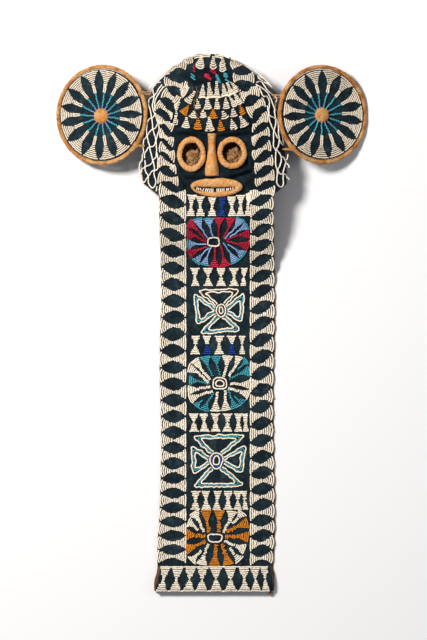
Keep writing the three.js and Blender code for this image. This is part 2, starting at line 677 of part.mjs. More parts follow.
// Four triangles that point to the middle of a square, each as its outer edge and its dark middle
function crossTriangles({ x, y, halfX, halfY, ringX, ringY }) {
  return [0, 1, 2, 3].map((quarter) => {
    const upright = quarter % 2 === 0
    const sign = quarter < 2 ? 1 : -1
    const [reach, spread, tip] = upright ? [halfY, halfX * 0.86, ringY + 4] : [halfX, halfY * 0.86, ringX + 4]
    const at = (out, across) => (upright ? [x + across, y + sign * out] : [x + sign * out, y + across])
    const outer = [at(reach, -spread), at(reach, spread), at(tip, 0)]
    const inner = [
      at(reach - CROSS_LINE, -spread + CROSS_LINE * 1.9),
      at(reach - CROSS_LINE, spread - CROSS_LINE * 1.9),
      at(tip + CROSS_LINE * 1.1, 0),
    ]
    return { outer, inner }
  })
}

function panel() {
  const flatRows = FOOT_ROLL.map(({ y }) => y)
  for (let y = -400; y < PANEL.flatY; y += 60) flatRows.push(y)
  flatRows.push(PANEL.flatY)
  const slopeStep = (CHIN.y - PANEL.flatY) / SLOPE_STEPS
  const slopeRows = Array.from({ length: SLOPE_STEPS + 1 }, (_, i) => PANEL.flatY + slopeStep * i)
  const plan = panelPlan({ left: 0, right: 0 })
  const bottom = (x, y) => (y < FOOT.crease ? BACKING + GAP : panelTop(x, y) - CLOTH)
  const sheet = (low, high, spread, rows = flatRows) => (
    join(slab([0, 1], rows, spread, low, high), [slab(COLUMN_STEPS, slopeRows, spread, low, high)])
  )
  const bands = BANDS.flatMap((band) => Array.from({ length: band.count }, (_, i) => {
    const x = band.first + band.pitch * i
    const top = Math.min(band.top, chinLine(x) - 2)
    return hourglass([x, top], [x, band.end], 7.6, 7.6, 2)
  }))
  const foot = Array.from({ length: FOOT.count }, (_, i) => {
    const x = FOOT.first + FOOT.pitch * i
    const levels = FOOT_ROLL.map(({ y }) => Math.min(FOOT.top, Math.max(FOOT.end + 1.5, y)))
    const middle = (FOOT.top + FOOT.end) / 2
    const half = (y) => 2.4 + (7.2 * Math.abs(y - middle)) / (FOOT.top - middle)
    return [...levels.map((y) => [x - half(y), y]), ...levels.reverse().map((y) => [x + half(y), y])]
  })
  const triangles = CROSSES.flatMap(crossTriangles)
  const cloth = sheet(bottom, panelTop, plan)
  const core = sheet(() => -10, (x, y) => panelTop(x, y) - CLOTH * 0.6, plan)
  const relief = beadPatches(cloth, core, [
    ...borderPatches(LEFT_DIAMONDS, panelLeft, BORDER_INNER.left),
    ...borderPatches(RIGHT_DIAMONDS, panelRight, BORDER_INNER.right),
    ...bands,
    ...foot,
    ...MEDALLIONS.flatMap(medallion),
    ...CROSSES.map(({ x, y, ringX, ringY }) => oval(x, y, ringX, ringY)),
  ])
  const hollows = triangles.map(({ inner }) => prism(inner, () => 0, () => 50))
  const crosses = beadPatches(cloth, core, triangles.map(({ outer }) => outer))
  const outlines = crosses.map((patch, i) => cut(patch, [hollows[i]]))
  add('trunk_panel', join(cloth, [...relief, ...outlines]), INDIGO)
  const under = (x, y) => (y < FOOT.crease ? BACKING : panelTop(x, y) - CLOTH - GAP - 0.7 * smooth((y - PANEL.flatY) / 30))
  const spread = panelPlan({ left: 0.6, right: 1.6 })
  const below = (x, y) => under(x, y) - BACKING
  const level = flatRows.filter((y) => y < FOOT.end + 1 || y > FOOT.crease - 1)
  add('panel_backing', sheet(below, under, spread, level), RAFFIA)
  const knob = add('hem_knob', new THREE.SphereGeometry(KNOB.radius, 7, 5), RAFFIA)
  knob.rotation.x = Math.PI / 2
  knob.position.set(KNOB.x, KNOB.y, KNOB.radius)
}

hood()
brow()
EYES.forEach(eyeRing)
nose()
mouth()
beadNet('left')
beadNet('right')
EARS.forEach(ear)
panel()

export default mask
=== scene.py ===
import math

import bpy
import numpy as np
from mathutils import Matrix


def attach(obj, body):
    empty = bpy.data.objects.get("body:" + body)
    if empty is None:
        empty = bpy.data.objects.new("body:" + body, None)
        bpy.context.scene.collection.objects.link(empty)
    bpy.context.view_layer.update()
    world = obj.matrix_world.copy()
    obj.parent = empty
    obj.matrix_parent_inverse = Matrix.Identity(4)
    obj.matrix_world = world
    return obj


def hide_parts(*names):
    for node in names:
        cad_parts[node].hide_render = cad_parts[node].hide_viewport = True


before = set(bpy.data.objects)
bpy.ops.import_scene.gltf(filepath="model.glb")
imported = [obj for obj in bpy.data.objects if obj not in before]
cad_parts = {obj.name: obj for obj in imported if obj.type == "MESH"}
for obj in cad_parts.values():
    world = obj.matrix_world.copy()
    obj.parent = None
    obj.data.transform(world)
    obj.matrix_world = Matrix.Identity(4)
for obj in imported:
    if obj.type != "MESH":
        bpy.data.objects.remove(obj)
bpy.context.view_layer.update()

# The elephant mask lies on its back and the camera looks straight down on it.
# Lengths are in millimetres in the dictionaries and the shape functions; makePiece turns them into metres.
metre = 0.001
pixel = 1.85  # millimetres of the real mask for each pixel of the picture
picture = dict(width=427, height=640, middleX=211.5, middleY=325.5)  # the pixel that lies on the origin


def say(stage):
    print("mask:", stage)


# Numbers

def ease(t):
    t = np.clip(t, 0, 1)
    return t * t * (3 - 2 * t)


def unit(vectors):
    return vectors / np.maximum(np.linalg.norm(vectors, axis=-1, keepdims=True), 1e-9)


def circle(count):
    # angles once round
    return np.linspace(0, 2 * math.pi, count, endpoint=False)


def wayAt(angle):
    return np.array([math.cos(angle), math.sin(angle)])


def squareTo(way, toward):
    # the direction square to another, on the side that is asked for
    square = np.array([-way[1], way[0]])
    return square if square @ toward > 0 else -square


def oval(turn, halfX, halfY):
    return np.c_[np.cos(turn) * halfX, np.sin(turn) * halfY]


def ballRing(tilt, count):
    # one level circle of a ball of radius 1, at an angle from its top
    turn, wide = circle(count), math.sin(tilt)
    return np.stack([np.cos(turn) * wide, np.sin(turn) * wide, np.full(count, math.cos(tilt))], -1)


def onFloor(x, y):
    # places in plan as points at no height
    return np.stack([x, y, np.zeros_like(x)], -1)


def travelledOn(line):
    # how far along a line each of its points is
    return np.r_[0, np.cumsum(np.linalg.norm(np.diff(line, axis=0), axis=1))]


def pointAt(where, travelled, line):
    # the point of a line that is as far along it as asked
    return np.stack([np.interp(where, travelled, axis) for axis in line.T], -1)


def ripple(points, wave, seed):
    # smooth bumps in space of about the given wavelength, from -1 to 1
    dice = np.random.default_rng(seed)
    total = 0
    for _ in range(8):
        heading = unit(dice.normal(size=3)) / (wave * dice.uniform(0.6, 1.5))
        total = total + np.sin(points @ heading * 2 * math.pi + dice.uniform(0, 6.3))
    return total / 4


def curveOf(stations, key):
    # a smooth curve through the values that the stations give along the mask
    y = np.array([s["y"] for s in stations], float)
    value = np.array([s[key] for s in stations], float)
    before, after = np.maximum(np.arange(len(y)) - 1, 0), np.minimum(np.arange(len(y)) + 1, len(y) - 1)
    slope = (value[after] - value[before]) / (y[after] - y[before])

    def at(where):
        where = np.clip(where, y[0], y[-1])
        i = np.clip(np.searchsorted(y, where) - 1, 0, len(y) - 2)
        span = y[i + 1] - y[i]
        t = (where - y[i]) / span
        start = (2 * t**3 - 3 * t**2 + 1) * value[i] + (t**3 - 2 * t**2 + t) * span * slope[i]
        return start + (3 * t**2 - 2 * t**3) * value[i + 1] + (t**3 - t**2) * span * slope[i + 1]

    return at


def softened(line, times=2):
    # corners cut off again and again, so that a string of beads turns in a bend
    line = np.asarray(line, float)
    for _ in range(times):
        here, beyond = line[:-1], line[1:]
        cut = np.stack([here * 0.75 + beyond * 0.25, here * 0.25 + beyond * 0.75], 1)
        line = np.vstack([line[:1], cut.reshape(-1, line.shape[1]), line[-1:]])
    return line


def spot(places):
    # places on the picture, in pixels, as places on the mask
    places = np.asarray(places, float)
    x, y = places[..., 0] - picture["middleX"], picture["middleY"] - places[..., 1]
    return np.stack([x * pixel, y * pixel], -1)


# Shader wiring: sums on sockets are written as sums

class wire:
    def __init__(self, paint, socket):
        self.paint, self.socket = paint, socket

    def maths(self, operation, first, second):
        return self.paint.node("ShaderNodeMath", {"operation": operation}, {0: first, 1: second})

    def __add__(self, other):
        return self.maths("ADD", self, other)

    def __sub__(self, other):
        return self.maths("SUBTRACT", self, other)

    def __rsub__(self, other):
        return self.maths("SUBTRACT", other, self)

    def __mul__(self, other):
        return self.maths("MULTIPLY", self, other)

    __radd__ = __add__
    __rmul__ = __mul__


class paint:
    def __init__(self, name, **values):
        self.material = bpy.data.materials.new(name)
        self.material.use_nodes = True
        self.tree = self.material.node_tree
        self.shader = self.tree.nodes["Principled BSDF"]
        for socket, value in values.items():
            self.shader.inputs[socket.replace("_", " ")].default_value = value
        self.place = self.node("ShaderNodeTexCoord", {}, {}, "Object")

    def node(self, kind, settings, sockets, out=0):
        made = self.tree.nodes.new(kind)
        for key, value in settings.items():
            setattr(made, key, value)
        for key, value in sockets.items():
            self.feed(made.inputs[key], value)
        return wire(self, made.outputs[out])

    def feed(self, socket, value):
        if isinstance(value, wire):
            self.tree.links.new(value.socket, socket)
        else:
            socket.default_value = value

    def noise(self, scale, detail=3.0, place=None):
        sockets = {"Vector": place or self.place, "Scale": scale, "Detail": detail}
        return self.node("ShaderNodeTexNoise", {}, sockets)

    def between(self, value, low, high):
        # 0 below low, 1 above high
        return self.node("ShaderNodeMapRange", {}, {"Value": value, "From Min": low, "From Max": high})

    def mixed(self, factor, first, second):
        return self.node("ShaderNodeMix", {"data_type": "RGBA"}, {0: factor, 6: first, 7: second}, 2)

    def vector(self, operation, *sockets, out=0):
        return self.node("ShaderNodeVectorMath", {"operation": operation}, dict(enumerate(sockets)), out)

    def about(self, x, y, halfX, halfY):
        # 1 inside an oval about a place on the mask, 0 outside it, with a soft edge
        off = self.vector("SUBTRACT", self.place, (x * metre, y * metre, 0))
        off = self.vector("DIVIDE", off, (halfX * metre, halfY * metre, 1))
        return self.between(self.vector("LENGTH", off, out=1), 1.2, 0.8)

    def stretched(self, x, y, z):
        return self.vector("MULTIPLY", self.place, (x, y, z))

    def finish(self, colour, height=None, rough=None, depth=0.0002):
        self.feed(self.shader.inputs["Base Color"], colour)
        if rough is not None:
            self.feed(self.shader.inputs["Roughness"], rough)
        if height is not None:
            bump = self.node("ShaderNodeBump", {}, {"Strength": 1.0, "Distance": depth, "Height": height})
            self.feed(self.shader.inputs["Normal"], bump)
        return self


def tint(text):
    # a colour as it is seen on a screen, such as efe3d0, as the shader's own numbers
    seen = [int(text[i:i + 2], 16) / 255 for i in (0, 2, 4)]
    return tuple(c / 12.92 if c <= 0.04045 else ((c + 0.055) / 1.055) ** 2.4 for c in seen) + (1.0,)


def threads(made, pitch):
    # plain weave: threads that cross over and under each other
    across = {"wave_type": "BANDS", "bands_direction": "X"}
    along = {"wave_type": "BANDS", "bands_direction": "Y"}
    scale = {"Vector": made.place, "Scale": 0.314 / (pitch * metre), "Distortion": 0.6, "Detail": 1.0}
    warp = made.node("ShaderNodeTexWave", across, scale)
    weft = made.node("ShaderNodeTexWave", along, scale)
    return warp * weft + (1 - warp) * (1 - weft)


# the last two entries are ovals (x, y, half width, half height) where painted shade darkens the hood's cloth
cottonLook = dict(dark="050b11", light="233740", worn="43555e", dust="54483c", pitch=0.9,
                  hoodShadeOval=(6, 335, 150, 112), dentShadowOval=(-4, 458, 52, 17))


def indigoCotton():
    look = cottonLook
    made = paint("indigoCotton", Roughness=0.95, Specular_IOR_Level=0.06)
    weave = threads(made, look["pitch"])
    broad = made.between(made.noise(40, 4), 0.36, 0.64)
    fine = made.between(made.noise(330, 4), 0.34, 0.66)
    colour = made.mixed(broad * 0.55 + fine * 0.45, tint(look["dark"]), tint(look["light"]))
    colour = made.mixed(made.between(made.noise(90, 5), 0.55, 0.68) * 0.5, colour, tint(look["worn"]))
    colour = made.mixed(made.between(made.noise(230, 2), 0.66, 0.74) * 0.5, colour, tint(look["dust"]))
    colour = made.mixed(weave * 0.25, colour, tint(look["worn"]))
    # painted shade: the hood's cloth is darker over the face and the hood, and darker still in the dent of
    # its crown, where the crown's roll throws its shadow
    paintedShade = made.about(*look["hoodShadeOval"]) * 0.4 + made.about(*look["dentShadowOval"]) * 0.5
    colour = made.mixed(paintedShade, colour, tint(look["dark"]))
    return made.finish(colour, weave * 0.6 + fine * 0.9 + broad * 1.2, depth=0.0009)


tanLook = dict(base="ffb063", light="ffd292", dark="b9662a", fleck="5f3212", pitch=0.7)


def tanCotton(name="tanCotton", base=tanLook["base"]):
    look = tanLook
    made = paint(name, Roughness=0.88, Specular_IOR_Level=0.25)
    weave = threads(made, look["pitch"])
    broad = made.between(made.noise(70, 4), 0.35, 0.65)
    grain = made.between(made.noise(300, 5), 0.38, 0.62)
    colour = made.mixed(broad * 0.8, tint(base), tint(look["light"]))
    colour = made.mixed(grain * 0.36, colour, tint(look["dark"]))
    colour = made.mixed(made.between(made.noise(330, 2), 0.66, 0.71) * 0.8, colour, tint(look["fleck"]))
    colour = made.mixed(made.between(made.noise(22, 4), 0.56, 0.8) * 0.3, colour, tint(look["dark"]))
    return made.finish(colour, weave * 0.4 + broad * 0.8 - grain * 1.1, depth=0.0012)


raffiaLook = dict(dark="4a2d1b", middle="b08150", light="e0b888", pitch=1.6)


def raffiaCloth(name="raffiaCloth", soil=0.0):
    look = raffiaLook
    made = paint(name, Roughness=0.95, Specular_IOR_Level=0.2)
    weave = threads(made, look["pitch"])
    fibre = made.between(made.noise(300, 5, made.stretched(0.25, 1.0, 1.0)), 0.3, 0.7)
    patch = made.between(made.noise(55, 4), 0.3, 0.7)
    colour = made.mixed(fibre * 0.6 + patch * 0.4, tint(look["dark"]), tint(look["middle"]))
    colour = made.mixed(weave * made.between(made.noise(140), 0.4, 0.65) * 0.7, colour, tint(look["light"]))
    colour = made.mixed(soil, colour, tint(cottonLook["dark"]))
    return made.finish(colour, weave * 0.7 + fibre * 0.5, depth=0.0006)


def glassBeads(name, light, dark, grimeAndShade="4c3826", soil=0.95):
    # opaque seed beads: each one its own tone, and low between the rows brown soil and painted shade
    made = paint(name, Roughness=0.45, Specular_IOR_Level=0.3)
    cells = made.node("ShaderNodeTexVoronoi", {}, {"Vector": made.place, "Scale": 320.0}, "Color")
    shade = made.node("ShaderNodeSeparateColor", {}, {0: cells})
    patch = made.between(made.noise(45, 3), 0.35, 0.7)
    colour = made.mixed(shade * 0.65 + patch * 0.35, tint(light), tint(dark))
    normal = made.node("ShaderNodeNewGeometry", {}, {}, "Normal")
    up = made.node("ShaderNodeSeparateXYZ", {}, {0: normal}, 2)
    # painted shade and soil: the sides of each string that do not face up are mixed towards the brown, for
    # the shade and the soil between the rows
    low = (1 - made.between(up, 0.12, 0.78)) * (made.between(made.noise(120, 3), 0.3, 0.6) * 0.4 + 0.6)
    colour = made.mixed(low * soil, colour, tint(grimeAndShade))
    return made.finish(colour, rough=shade * 0.2 + 0.3)


say("materials")
indigo, tan, raffia, dirtyRaffia = indigoCotton(), tanCotton(), raffiaCloth(), raffiaCloth("dirtyRaffia", 0.7)
bossTan, rimTan = tanCotton("bossCotton", "e08f3c"), tanCotton("rimCotton", "be6e24")
# the fourth colour, where one is given, is the brown of soil and painted shade between the rows
inks = {
    "cream": glassBeads("creamBeads", "fff8ea", "ecdabd"),
    # painted shade: a darker copy of the cream beads for the hood, the forehead and the ears, which get less
    # light than the panel
    "shadedCream": glassBeads("shadedCreamBeads", "f1e6d4", "dccab0"),
    "white": glassBeads("whiteBeads", "fdf6ea", "ecdfcb", soil=0.75),
    "teal": glassBeads("tealBeads", "46aab8", "278394", "16323a"),
    "sky": glassBeads("skyBeads", "9dbbe2", "6f93c8", "33435c"),
    "lilac": glassBeads("lilacBeads", "7796c2", "4c6f9e", "2c3852"),
    "red": glassBeads("redBeads", "cf1f42", "99102c", "3c0a14"),
    "cobalt": glassBeads("cobaltBeads", "003c96", "002668", "010c22"),
    "orange": glassBeads("orangeBeads", "e08c1a", "b5670c", "4a2a0a"),
    "black": glassBeads("blackBeads", "1a171c", "0e0c10", "050505"),
}
inkOrder = list(inks)


# Meshes

def makePiece(name, points, faces, paints, which=None, replaces=()):
    mesh = bpy.data.meshes.new(name)
    mesh.from_pydata((np.asarray(points) * metre).tolist(), [], faces)
    for each in paints:
        mesh.materials.append(each.material)
    if which is not None:
        mesh.polygons.foreach_set("material_index", which)
    mesh.polygons.foreach_set("use_smooth", [True] * len(mesh.polygons))
    mesh.update()
    piece = bpy.data.objects.new(name, mesh)
    bpy.context.scene.collection.objects.link(piece)
    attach(piece, "root")
    if replaces:
        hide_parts(*replaces)
    return piece


def loft(rings, looped=False):
    # quads over rings of points; open ends get a flat cap
    rings = np.asarray(rings, float)
    count, around = rings.shape[:2]
    index = np.arange(count * around).reshape(count, around)
    here, beyond = (index, np.roll(index, -1, 0)) if looped else (index[:-1], index[1:])
    quads = np.stack([here, np.roll(here, -1, 1), np.roll(beyond, -1, 1), beyond], -1).reshape(-1, 4)
    turn = np.cross(np.roll(rings[0], -1, 0) - rings[0], rings[1] - rings[0])
    outward = (turn * (rings[0] - rings[0].mean(0))).sum() > 0
    faces = quads.tolist() if outward else quads[:, ::-1].tolist()
    if not looped:
        ends = [index[0][::-1].tolist(), index[-1].tolist()]
        faces += ends if outward else [end[::-1] for end in ends]
    return rings.reshape(-1, 3), faces


def joined(parts):
    # several closed meshes as one list of points and faces
    points, faces, start = [], [], 0
    for some, quads in parts:
        points.append(some)
        faces += [[i + start for i in quad] for quad in quads]
        start += len(some)
    return np.vstack(points), faces


def rumple(piece, *waves):
    # moves a piece's points in and out along its normals: (wavelength, depth, seed)
    mesh = piece.data
    count = len(mesh.vertices)
    place, normal = np.zeros(count * 3), np.zeros(count * 3)
    mesh.vertices.foreach_get("co", place)
    mesh.vertices.foreach_get("normal", normal)
    place, normal = place.reshape(-1, 3), normal.reshape(-1, 3)
    move = sum(ripple(place / metre, wave, seed) * depth for wave, depth, seed in waves)
    mesh.vertices.foreach_set("co", (place + normal * move[:, None] * metre).ravel())
    mesh.update()


def cutAway(piece, cutters):
    for cutter in cutters:
        bpy.context.scene.collection.objects.link(cutter)
        change = piece.modifiers.new("cut", "BOOLEAN")
        change.operation, change.solver, change.object = "DIFFERENCE", "MANIFOLD", cutter
    bpy.context.view_layer.update()
    graph = bpy.context.evaluated_depsgraph_get()
    result = bpy.data.meshes.new_from_object(piece.evaluated_get(graph))
    piece.modifiers.clear()
    piece.data = result
    piece.data.polygons.foreach_set("use_smooth", [True] * len(piece.data.polygons))
    for cutter in cutters:
        bpy.data.objects.remove(cutter)


def prismOf(outline, low, high):
    # an upright solid over an outline in plan, only used to cut with
    outline = np.asarray(outline, float)
    x, y = outline.T
    area = (x * np.roll(y, -1) - y * np.roll(x, -1)).sum()
    outline = outline if area > 0 else outline[::-1]
    count = len(outline)
    points = np.vstack([np.c_[outline, np.full(count, z)] for z in (low, high)])
    sides = [[i, (i + 1) % count, (i + 1) % count + count, i + count] for i in range(count)]
    faces = sides + [list(range(count))[::-1], list(range(count, 2 * count))]
    mesh = bpy.data.meshes.new("cutter")
    mesh.from_pydata((points * metre).tolist(), [], faces)
    return bpy.data.objects.new("cutter", mesh)


def sharpEdges(piece, angle=50):
    piece.data.set_sharp_from_angle(angle=math.radians(angle))


# Strings of beads

# A bead's length along the string, its radius and the distance between rows; waist and shoulder shape it
beadForm = dict(length=2.55, radius=1.66, row=3.25, sides=6, uneven=0.08, stray=0.22, waist=0.6,
                shoulder=0.26, lift=1.5, hoodLift=1.6)
patchForm = dict(bow=2.2, hollow=0.62)  # how far the outer rows bend, and how the edges run in between them


def beadsFor(width, uneven):
    # how many beads make a row of a width
    return max(1, round(width / beadForm["length"] + uneven))


def straight(t):
    return 0.0


def spokesOf(sides, side, up):
    # directions out from a line, once round it at each of its points
    turn = circle(sides)
    return np.cos(turn)[None, :, None] * side[:, None] + np.sin(turn)[None, :, None] * up[:, None]


class beadwork:
    # collects strings of beads on one surface and makes them one piece
    def __init__(self, name, surface, seed):
        self.name, self.surface = name, surface
        self.dice = np.random.default_rng(seed)
        self.points, self.faces, self.which, self.total = [], [], [], 0

    def string(self, line, ink, closed=False, sway=0.0, stagger=0.0, size=1.0):
        line = np.asarray(line, float)
        if line.shape[1] == 2:
            places, normals = self.surface(line)
        else:
            places, normals = line[:, :3], line[:, 3:]
        if closed:
            places, normals = np.vstack([places, places[:1]]), np.vstack([normals, normals[:1]])
        travelled = travelledOn(places)
        count = beadsFor(travelled[-1], 0)
        step = travelled[-1] / count
        shoulder = beadForm["shoulder"]
        beat = np.add.outer(np.arange(count), [0, shoulder, 1 - shoulder]).ravel()
        swell = np.tile([beadForm["waist"], 1, 1], count)
        bead = np.repeat(np.arange(count), 3)
        if not closed:
            beat, swell, bead = np.r_[beat, count], np.r_[swell, beadForm["waist"]], np.r_[bead, count - 1]
        at = beat * step
        centre, up = pointAt(at, travelled, places), unit(pointAt(at, travelled, normals))
        ahead = np.roll(centre, -1, 0) - np.roll(centre, 1, 0)
        if not closed:
            ahead[0], ahead[-1] = centre[1] - centre[0], centre[-1] - centre[-2]
        side = unit(np.cross(ahead, up))
        up = unit(np.cross(side, ahead))
        fat = 1 + self.dice.normal(0, beadForm["uneven"], count)[bead]
        drift = self.dice.normal(0, beadForm["stray"], (count, 2))[bead]
        drift[:, 0] += stagger * (-1.0) ** bead
        if sway:
            phase = self.dice.uniform(0, 6.3)
            drift[:, 0] += sway * np.sin(at / 3.4 + phase) + 0.5 * sway * np.sin(at / 1.9 + 2 * phase)
        centre = centre + side * drift[:, :1] + up * drift[:, 1:] * 0.5
        radius = (beadForm["radius"] * size * swell * fat)[:, None, None]
        rings = centre[:, None] + radius * spokesOf(beadForm["sides"], side, up)
        count, around = rings.shape[:2]
        index = np.arange(count * around).reshape(count, around) + self.total
        here, beyond = (index, np.roll(index, -1, 0)) if closed else (index[:-1], index[1:])
        quads = np.stack([here, beyond, np.roll(beyond, -1, 1), np.roll(here, -1, 1)], -1)
        quads = quads.reshape(-1, 4).tolist()
        if not closed:
            quads += [index[0].tolist(), index[-1][::-1].tolist()]
        self.points.append(rings.reshape(-1, 3))
        self.faces += quads
        self.which += [inkOrder.index(ink)] * len(quads)
        self.total += count * around

    def fan(self, start, end, along, half, bow, ink):
        # rows side by side from start to end, each one along the given direction
        start, end, along = (np.asarray(v, float) for v in (start, end, along))
        along = unit(along)
        across = np.array([along[1], -along[0]])
        across = across if across @ (end - start) > 0 else -across
        count = max(1, round(abs(across @ (end - start)) / beadForm["row"]))
        for i in range(count):
            t = (i + 0.5) / count
            beads = beadsFor(2 * half(t), self.dice.uniform(-0.45, 0.45))
            r = np.linspace(-1, 1, 7)[:, None]
            reach = r * beads * beadForm["length"] / 2 + self.dice.normal(0, 0.25)
            line = start + (end - start) * t + across * bow(t) * (1 - r * r) + along * reach
            self.string(line, ink(t) if callable(ink) else ink)

    def patch(self, ribs, ink):
        # rows over a patch drawn by its cross lines, each from one edge to the other; between two of them
        # the edges run in hollow curves
        ribs = np.asarray(ribs, float).reshape(-1, 2, 2)
        middle, reach = ribs.mean(1), ribs[:, 1] - ribs[:, 0]
        half = np.linalg.norm(reach, axis=1) / 2
        travelled, flow = travelledOn(middle), unit(np.gradient(middle, axis=0))
        narrow, long = travelled[np.argmin(half)], travelled[-1]
        count = max(2, round(long / beadForm["row"]))
        for i in range(count):
            at = (i + 0.5) / count * long
            wide = np.interp(at, travelled, half ** patchForm["hollow"]) ** (1 / patchForm["hollow"])
            out = (at - narrow) / max(long - narrow if at > narrow else narrow, 1)
            beads = beadsFor(2 * wide, self.dice.uniform(-0.4, 0.4))
            r = np.linspace(-1, 1, 7)[:, None]
            bend = math.copysign(abs(out) ** 1.6 * patchForm["bow"], out) * (1 - r * r)
            across, ahead = unit(pointAt(at, travelled, unit(reach))), pointAt(at, travelled, flow)
            along = r * beads * beadForm["length"] / 2 + self.dice.normal(0, 0.3)
            self.string(pointAt(at, travelled, middle) + across * along + ahead * bend, ink)

    def make(self, replaces=()):
        used = sorted(set(self.which))
        place = {ink: i for i, ink in enumerate(used)}
        paints = [inks[inkOrder[i]] for i in used]
        which = [place[i] for i in self.which]
        makePiece(self.name, np.vstack(self.points), self.faces, paints, which, replaces)


def onTop(height, lift, smooth=None):
    # a surface given by its height over the floor: the places on it and its upward normals
    even = smooth or height

    def surface(line):
        x, y = np.asarray(line, float).T
        step = 0.6
        slopeX = (even(x + step, y) - even(x - step, y)) / (2 * step)
        slopeY = (even(x, y + step) - even(x, y - step)) / (2 * step)
        normal = unit(np.stack([-slopeX, -slopeY, np.ones_like(x)], 1))
        return np.stack([x, y, height(x, y)], 1) + normal * lift, normal

    return surface


# Hood

hood = dict(
    stations=[
        dict(y=215, left=-126, right=138, top=82, wide=49, low=0),
        dict(y=284, left=-129, right=139, top=97, wide=53, low=0),
        dict(y=334, left=-126, right=133, top=105, wide=53, low=0),
        dict(y=388, left=-119, right=124, top=112, wide=48, low=0),
        dict(y=430, left=-112, right=111, top=110, wide=50, low=0),
        dict(y=450, left=-99, right=96, top=107, wide=50, low=0),
        dict(y=462, left=-87, right=83, top=102, wide=48, low=1),
        dict(y=477, left=-70, right=66, top=94, wide=46, low=6),
        dict(y=493, left=-47, right=34, top=76, wide=43, low=18),
        dict(y=502.3, left=-26, right=13, top=52, wide=41, low=33),
    ],
    frontPower=2.6, backPower=4, backSink=6, cloth=2.4, lining=2.0, gap=0.3,
    rows=dict(upTo=450, crownFrom=453), drop=dict(start=466, length=36), foldsAbove=60, ripplesAbove=12,
    valley=dict(x=-3, y=462, halfWidth=36, halfLength=10, depth=17),
    hemLeft=[(-131, 284), (-125, 262), (-94.5, 238)],
    hemRight=[(141, 270), (139, 262), (116, 243)],
    chin=dict(x=10, y=235, halfWidth=58, rise=8),
    cut=dict(aside=220, down=150, up=200, chinFrom=16, hemFrom=-50, eyeFrom=70, eyeTo=160),
)
hoodCurve = {key: curveOf(hood["stations"], key) for key in ("left", "right", "top", "wide", "low")}


def valleyDepth(x, y):
    v = hood["valley"]
    return v["depth"] * np.exp(-((x - v["x"]) / v["halfWidth"]) ** 2 - ((y - v["y"]) / v["halfLength"]) ** 2)


def hoodFront(x, y):
    left, right, top, wide = (hoodCurve[key](y) for key in ("left", "right", "top", "wide"))
    across = np.minimum(np.abs(x - (left + right) / 2) / ((right - left) / 2), 0.992)
    power = hood["frontPower"]
    return wide + (top - wide) * (1 - across**power) ** (1 / power) - valleyDepth(x, y)


def hoodRing(y, turn, inset):
    # the hood's section at y, at angles about its middle
    left, right, top, wide, low = (hoodCurve[key](y) for key in ("left", "right", "top", "wide", "low"))
    c, s = np.cos(turn), np.sin(turn)
    x = (left + right) / 2 + ((right - left) / 2 - inset) * np.sign(c) * np.abs(c) ** (2 / hood["frontPower"])
    front = wide + (top - inset - wide) * np.abs(s) ** (2 / hood["frontPower"]) - valleyDepth(x, y)
    back = wide - (wide - low + hood["backSink"]) * np.abs(s) ** (2 / hood["backPower"])
    z = np.where(s >= 0, front, np.maximum(low + inset, back + inset))
    # over the crown an inner skin also ends lower than the outer one
    placedY = y - inset * ease((y - hood["drop"]["start"]) / hood["drop"]["length"])
    return np.stack([x, np.full_like(x, placedY), z], -1)


def chinLine(x):
    chin = hood["chin"]
    return chin["y"] + chin["rise"] * np.clip(((x - chin["x"]) / chin["halfWidth"]) ** 2, 0, 1)


# Folds of the face's cloth and the creases beside them: start and end in pixels of the picture, half width
# and height in millimetres
folds = [
    dict(start=(175.5, 132.4), end=(193, 130.6), width=4.0, height=6),
    dict(start=(180.5, 135), end=(206.5, 138.4), width=3.2, height=-7),
    dict(start=(219, 134.4), end=(249, 131.4), width=4.0, height=6.4),
    dict(start=(221, 137.8), end=(248, 136), width=3.2, height=-6.5),
    dict(start=(177.2, 163), end=(184, 184), width=4.4, height=7.5),
    dict(start=(180, 174), end=(186.8, 189.5), width=3.2, height=-8),
    dict(start=(186, 175), end=(205, 176.8), width=4.0, height=7),
    dict(start=(187, 179.4), end=(204, 181), width=3.0, height=-6),
    dict(start=(220.5, 177), end=(236, 173.8), width=4.0, height=7),
    dict(start=(239, 173.2), end=(251, 168), width=3.8, height=6.6),
    dict(start=(233, 178.8), end=(250.5, 172.8), width=3.2, height=-7),
    dict(start=(248, 150), end=(250.6, 164.6), width=3.6, height=6),
    dict(start=(245, 152), end=(247.6, 167), width=2.8, height=-5),
    dict(start=(174.8, 144), end=(176.6, 156), width=3.4, height=5),
    dict(start=(243, 184), end=(251, 178), width=3.4, height=5),
]


def foldHeight(x, y):
    total = 0
    for fold in folds:
        a, b = spot(fold["start"]), spot(fold["end"])
        reach = b - a
        t = np.clip(((x - a[0]) * reach[0] + (y - a[1]) * reach[1]) / (reach @ reach), 0, 1)
        off = np.hypot(x - a[0] - reach[0] * t, y - a[1] - reach[1] * t) / fold["width"]
        total = total + fold["height"] * np.exp(-off * off)
    return total


def hoodCutters():
    # what the hood's cloth is cut away by: below the chin, beside the panel's upper end, and the eye holes
    cut = hood["cut"]
    ends = [side(hood["chin"]["y"]) for side in (panelLeft, panelRight)]
    chin = [(x, chinLine(x)) for x in np.linspace(*ends, 24)]
    aside, down = cut["aside"], cut["down"]
    front = [(-aside, chin[0][1]), *chin, (aside, chin[-1][1]), (aside, down), (-aside, down)]
    made = [prismOf(front, cut["chinFrom"], cut["up"])]
    for hem, end in ((hood["hemLeft"], -aside), (hood["hemRight"], aside)):
        outline = [*hem, (hem[-1][0], down), (end, down), (end, hem[0][1])]
        made.append(prismOf(outline, cut["hemFrom"], cut["up"]))
    for eye in eyes:
        hole = np.array([eye["x"], eye["y"]]) + oval(circle(64), eye["holeX"], eye["holeY"])
        made.append(prismOf(hole, cut["eyeFrom"], cut["eyeTo"]))
    return made


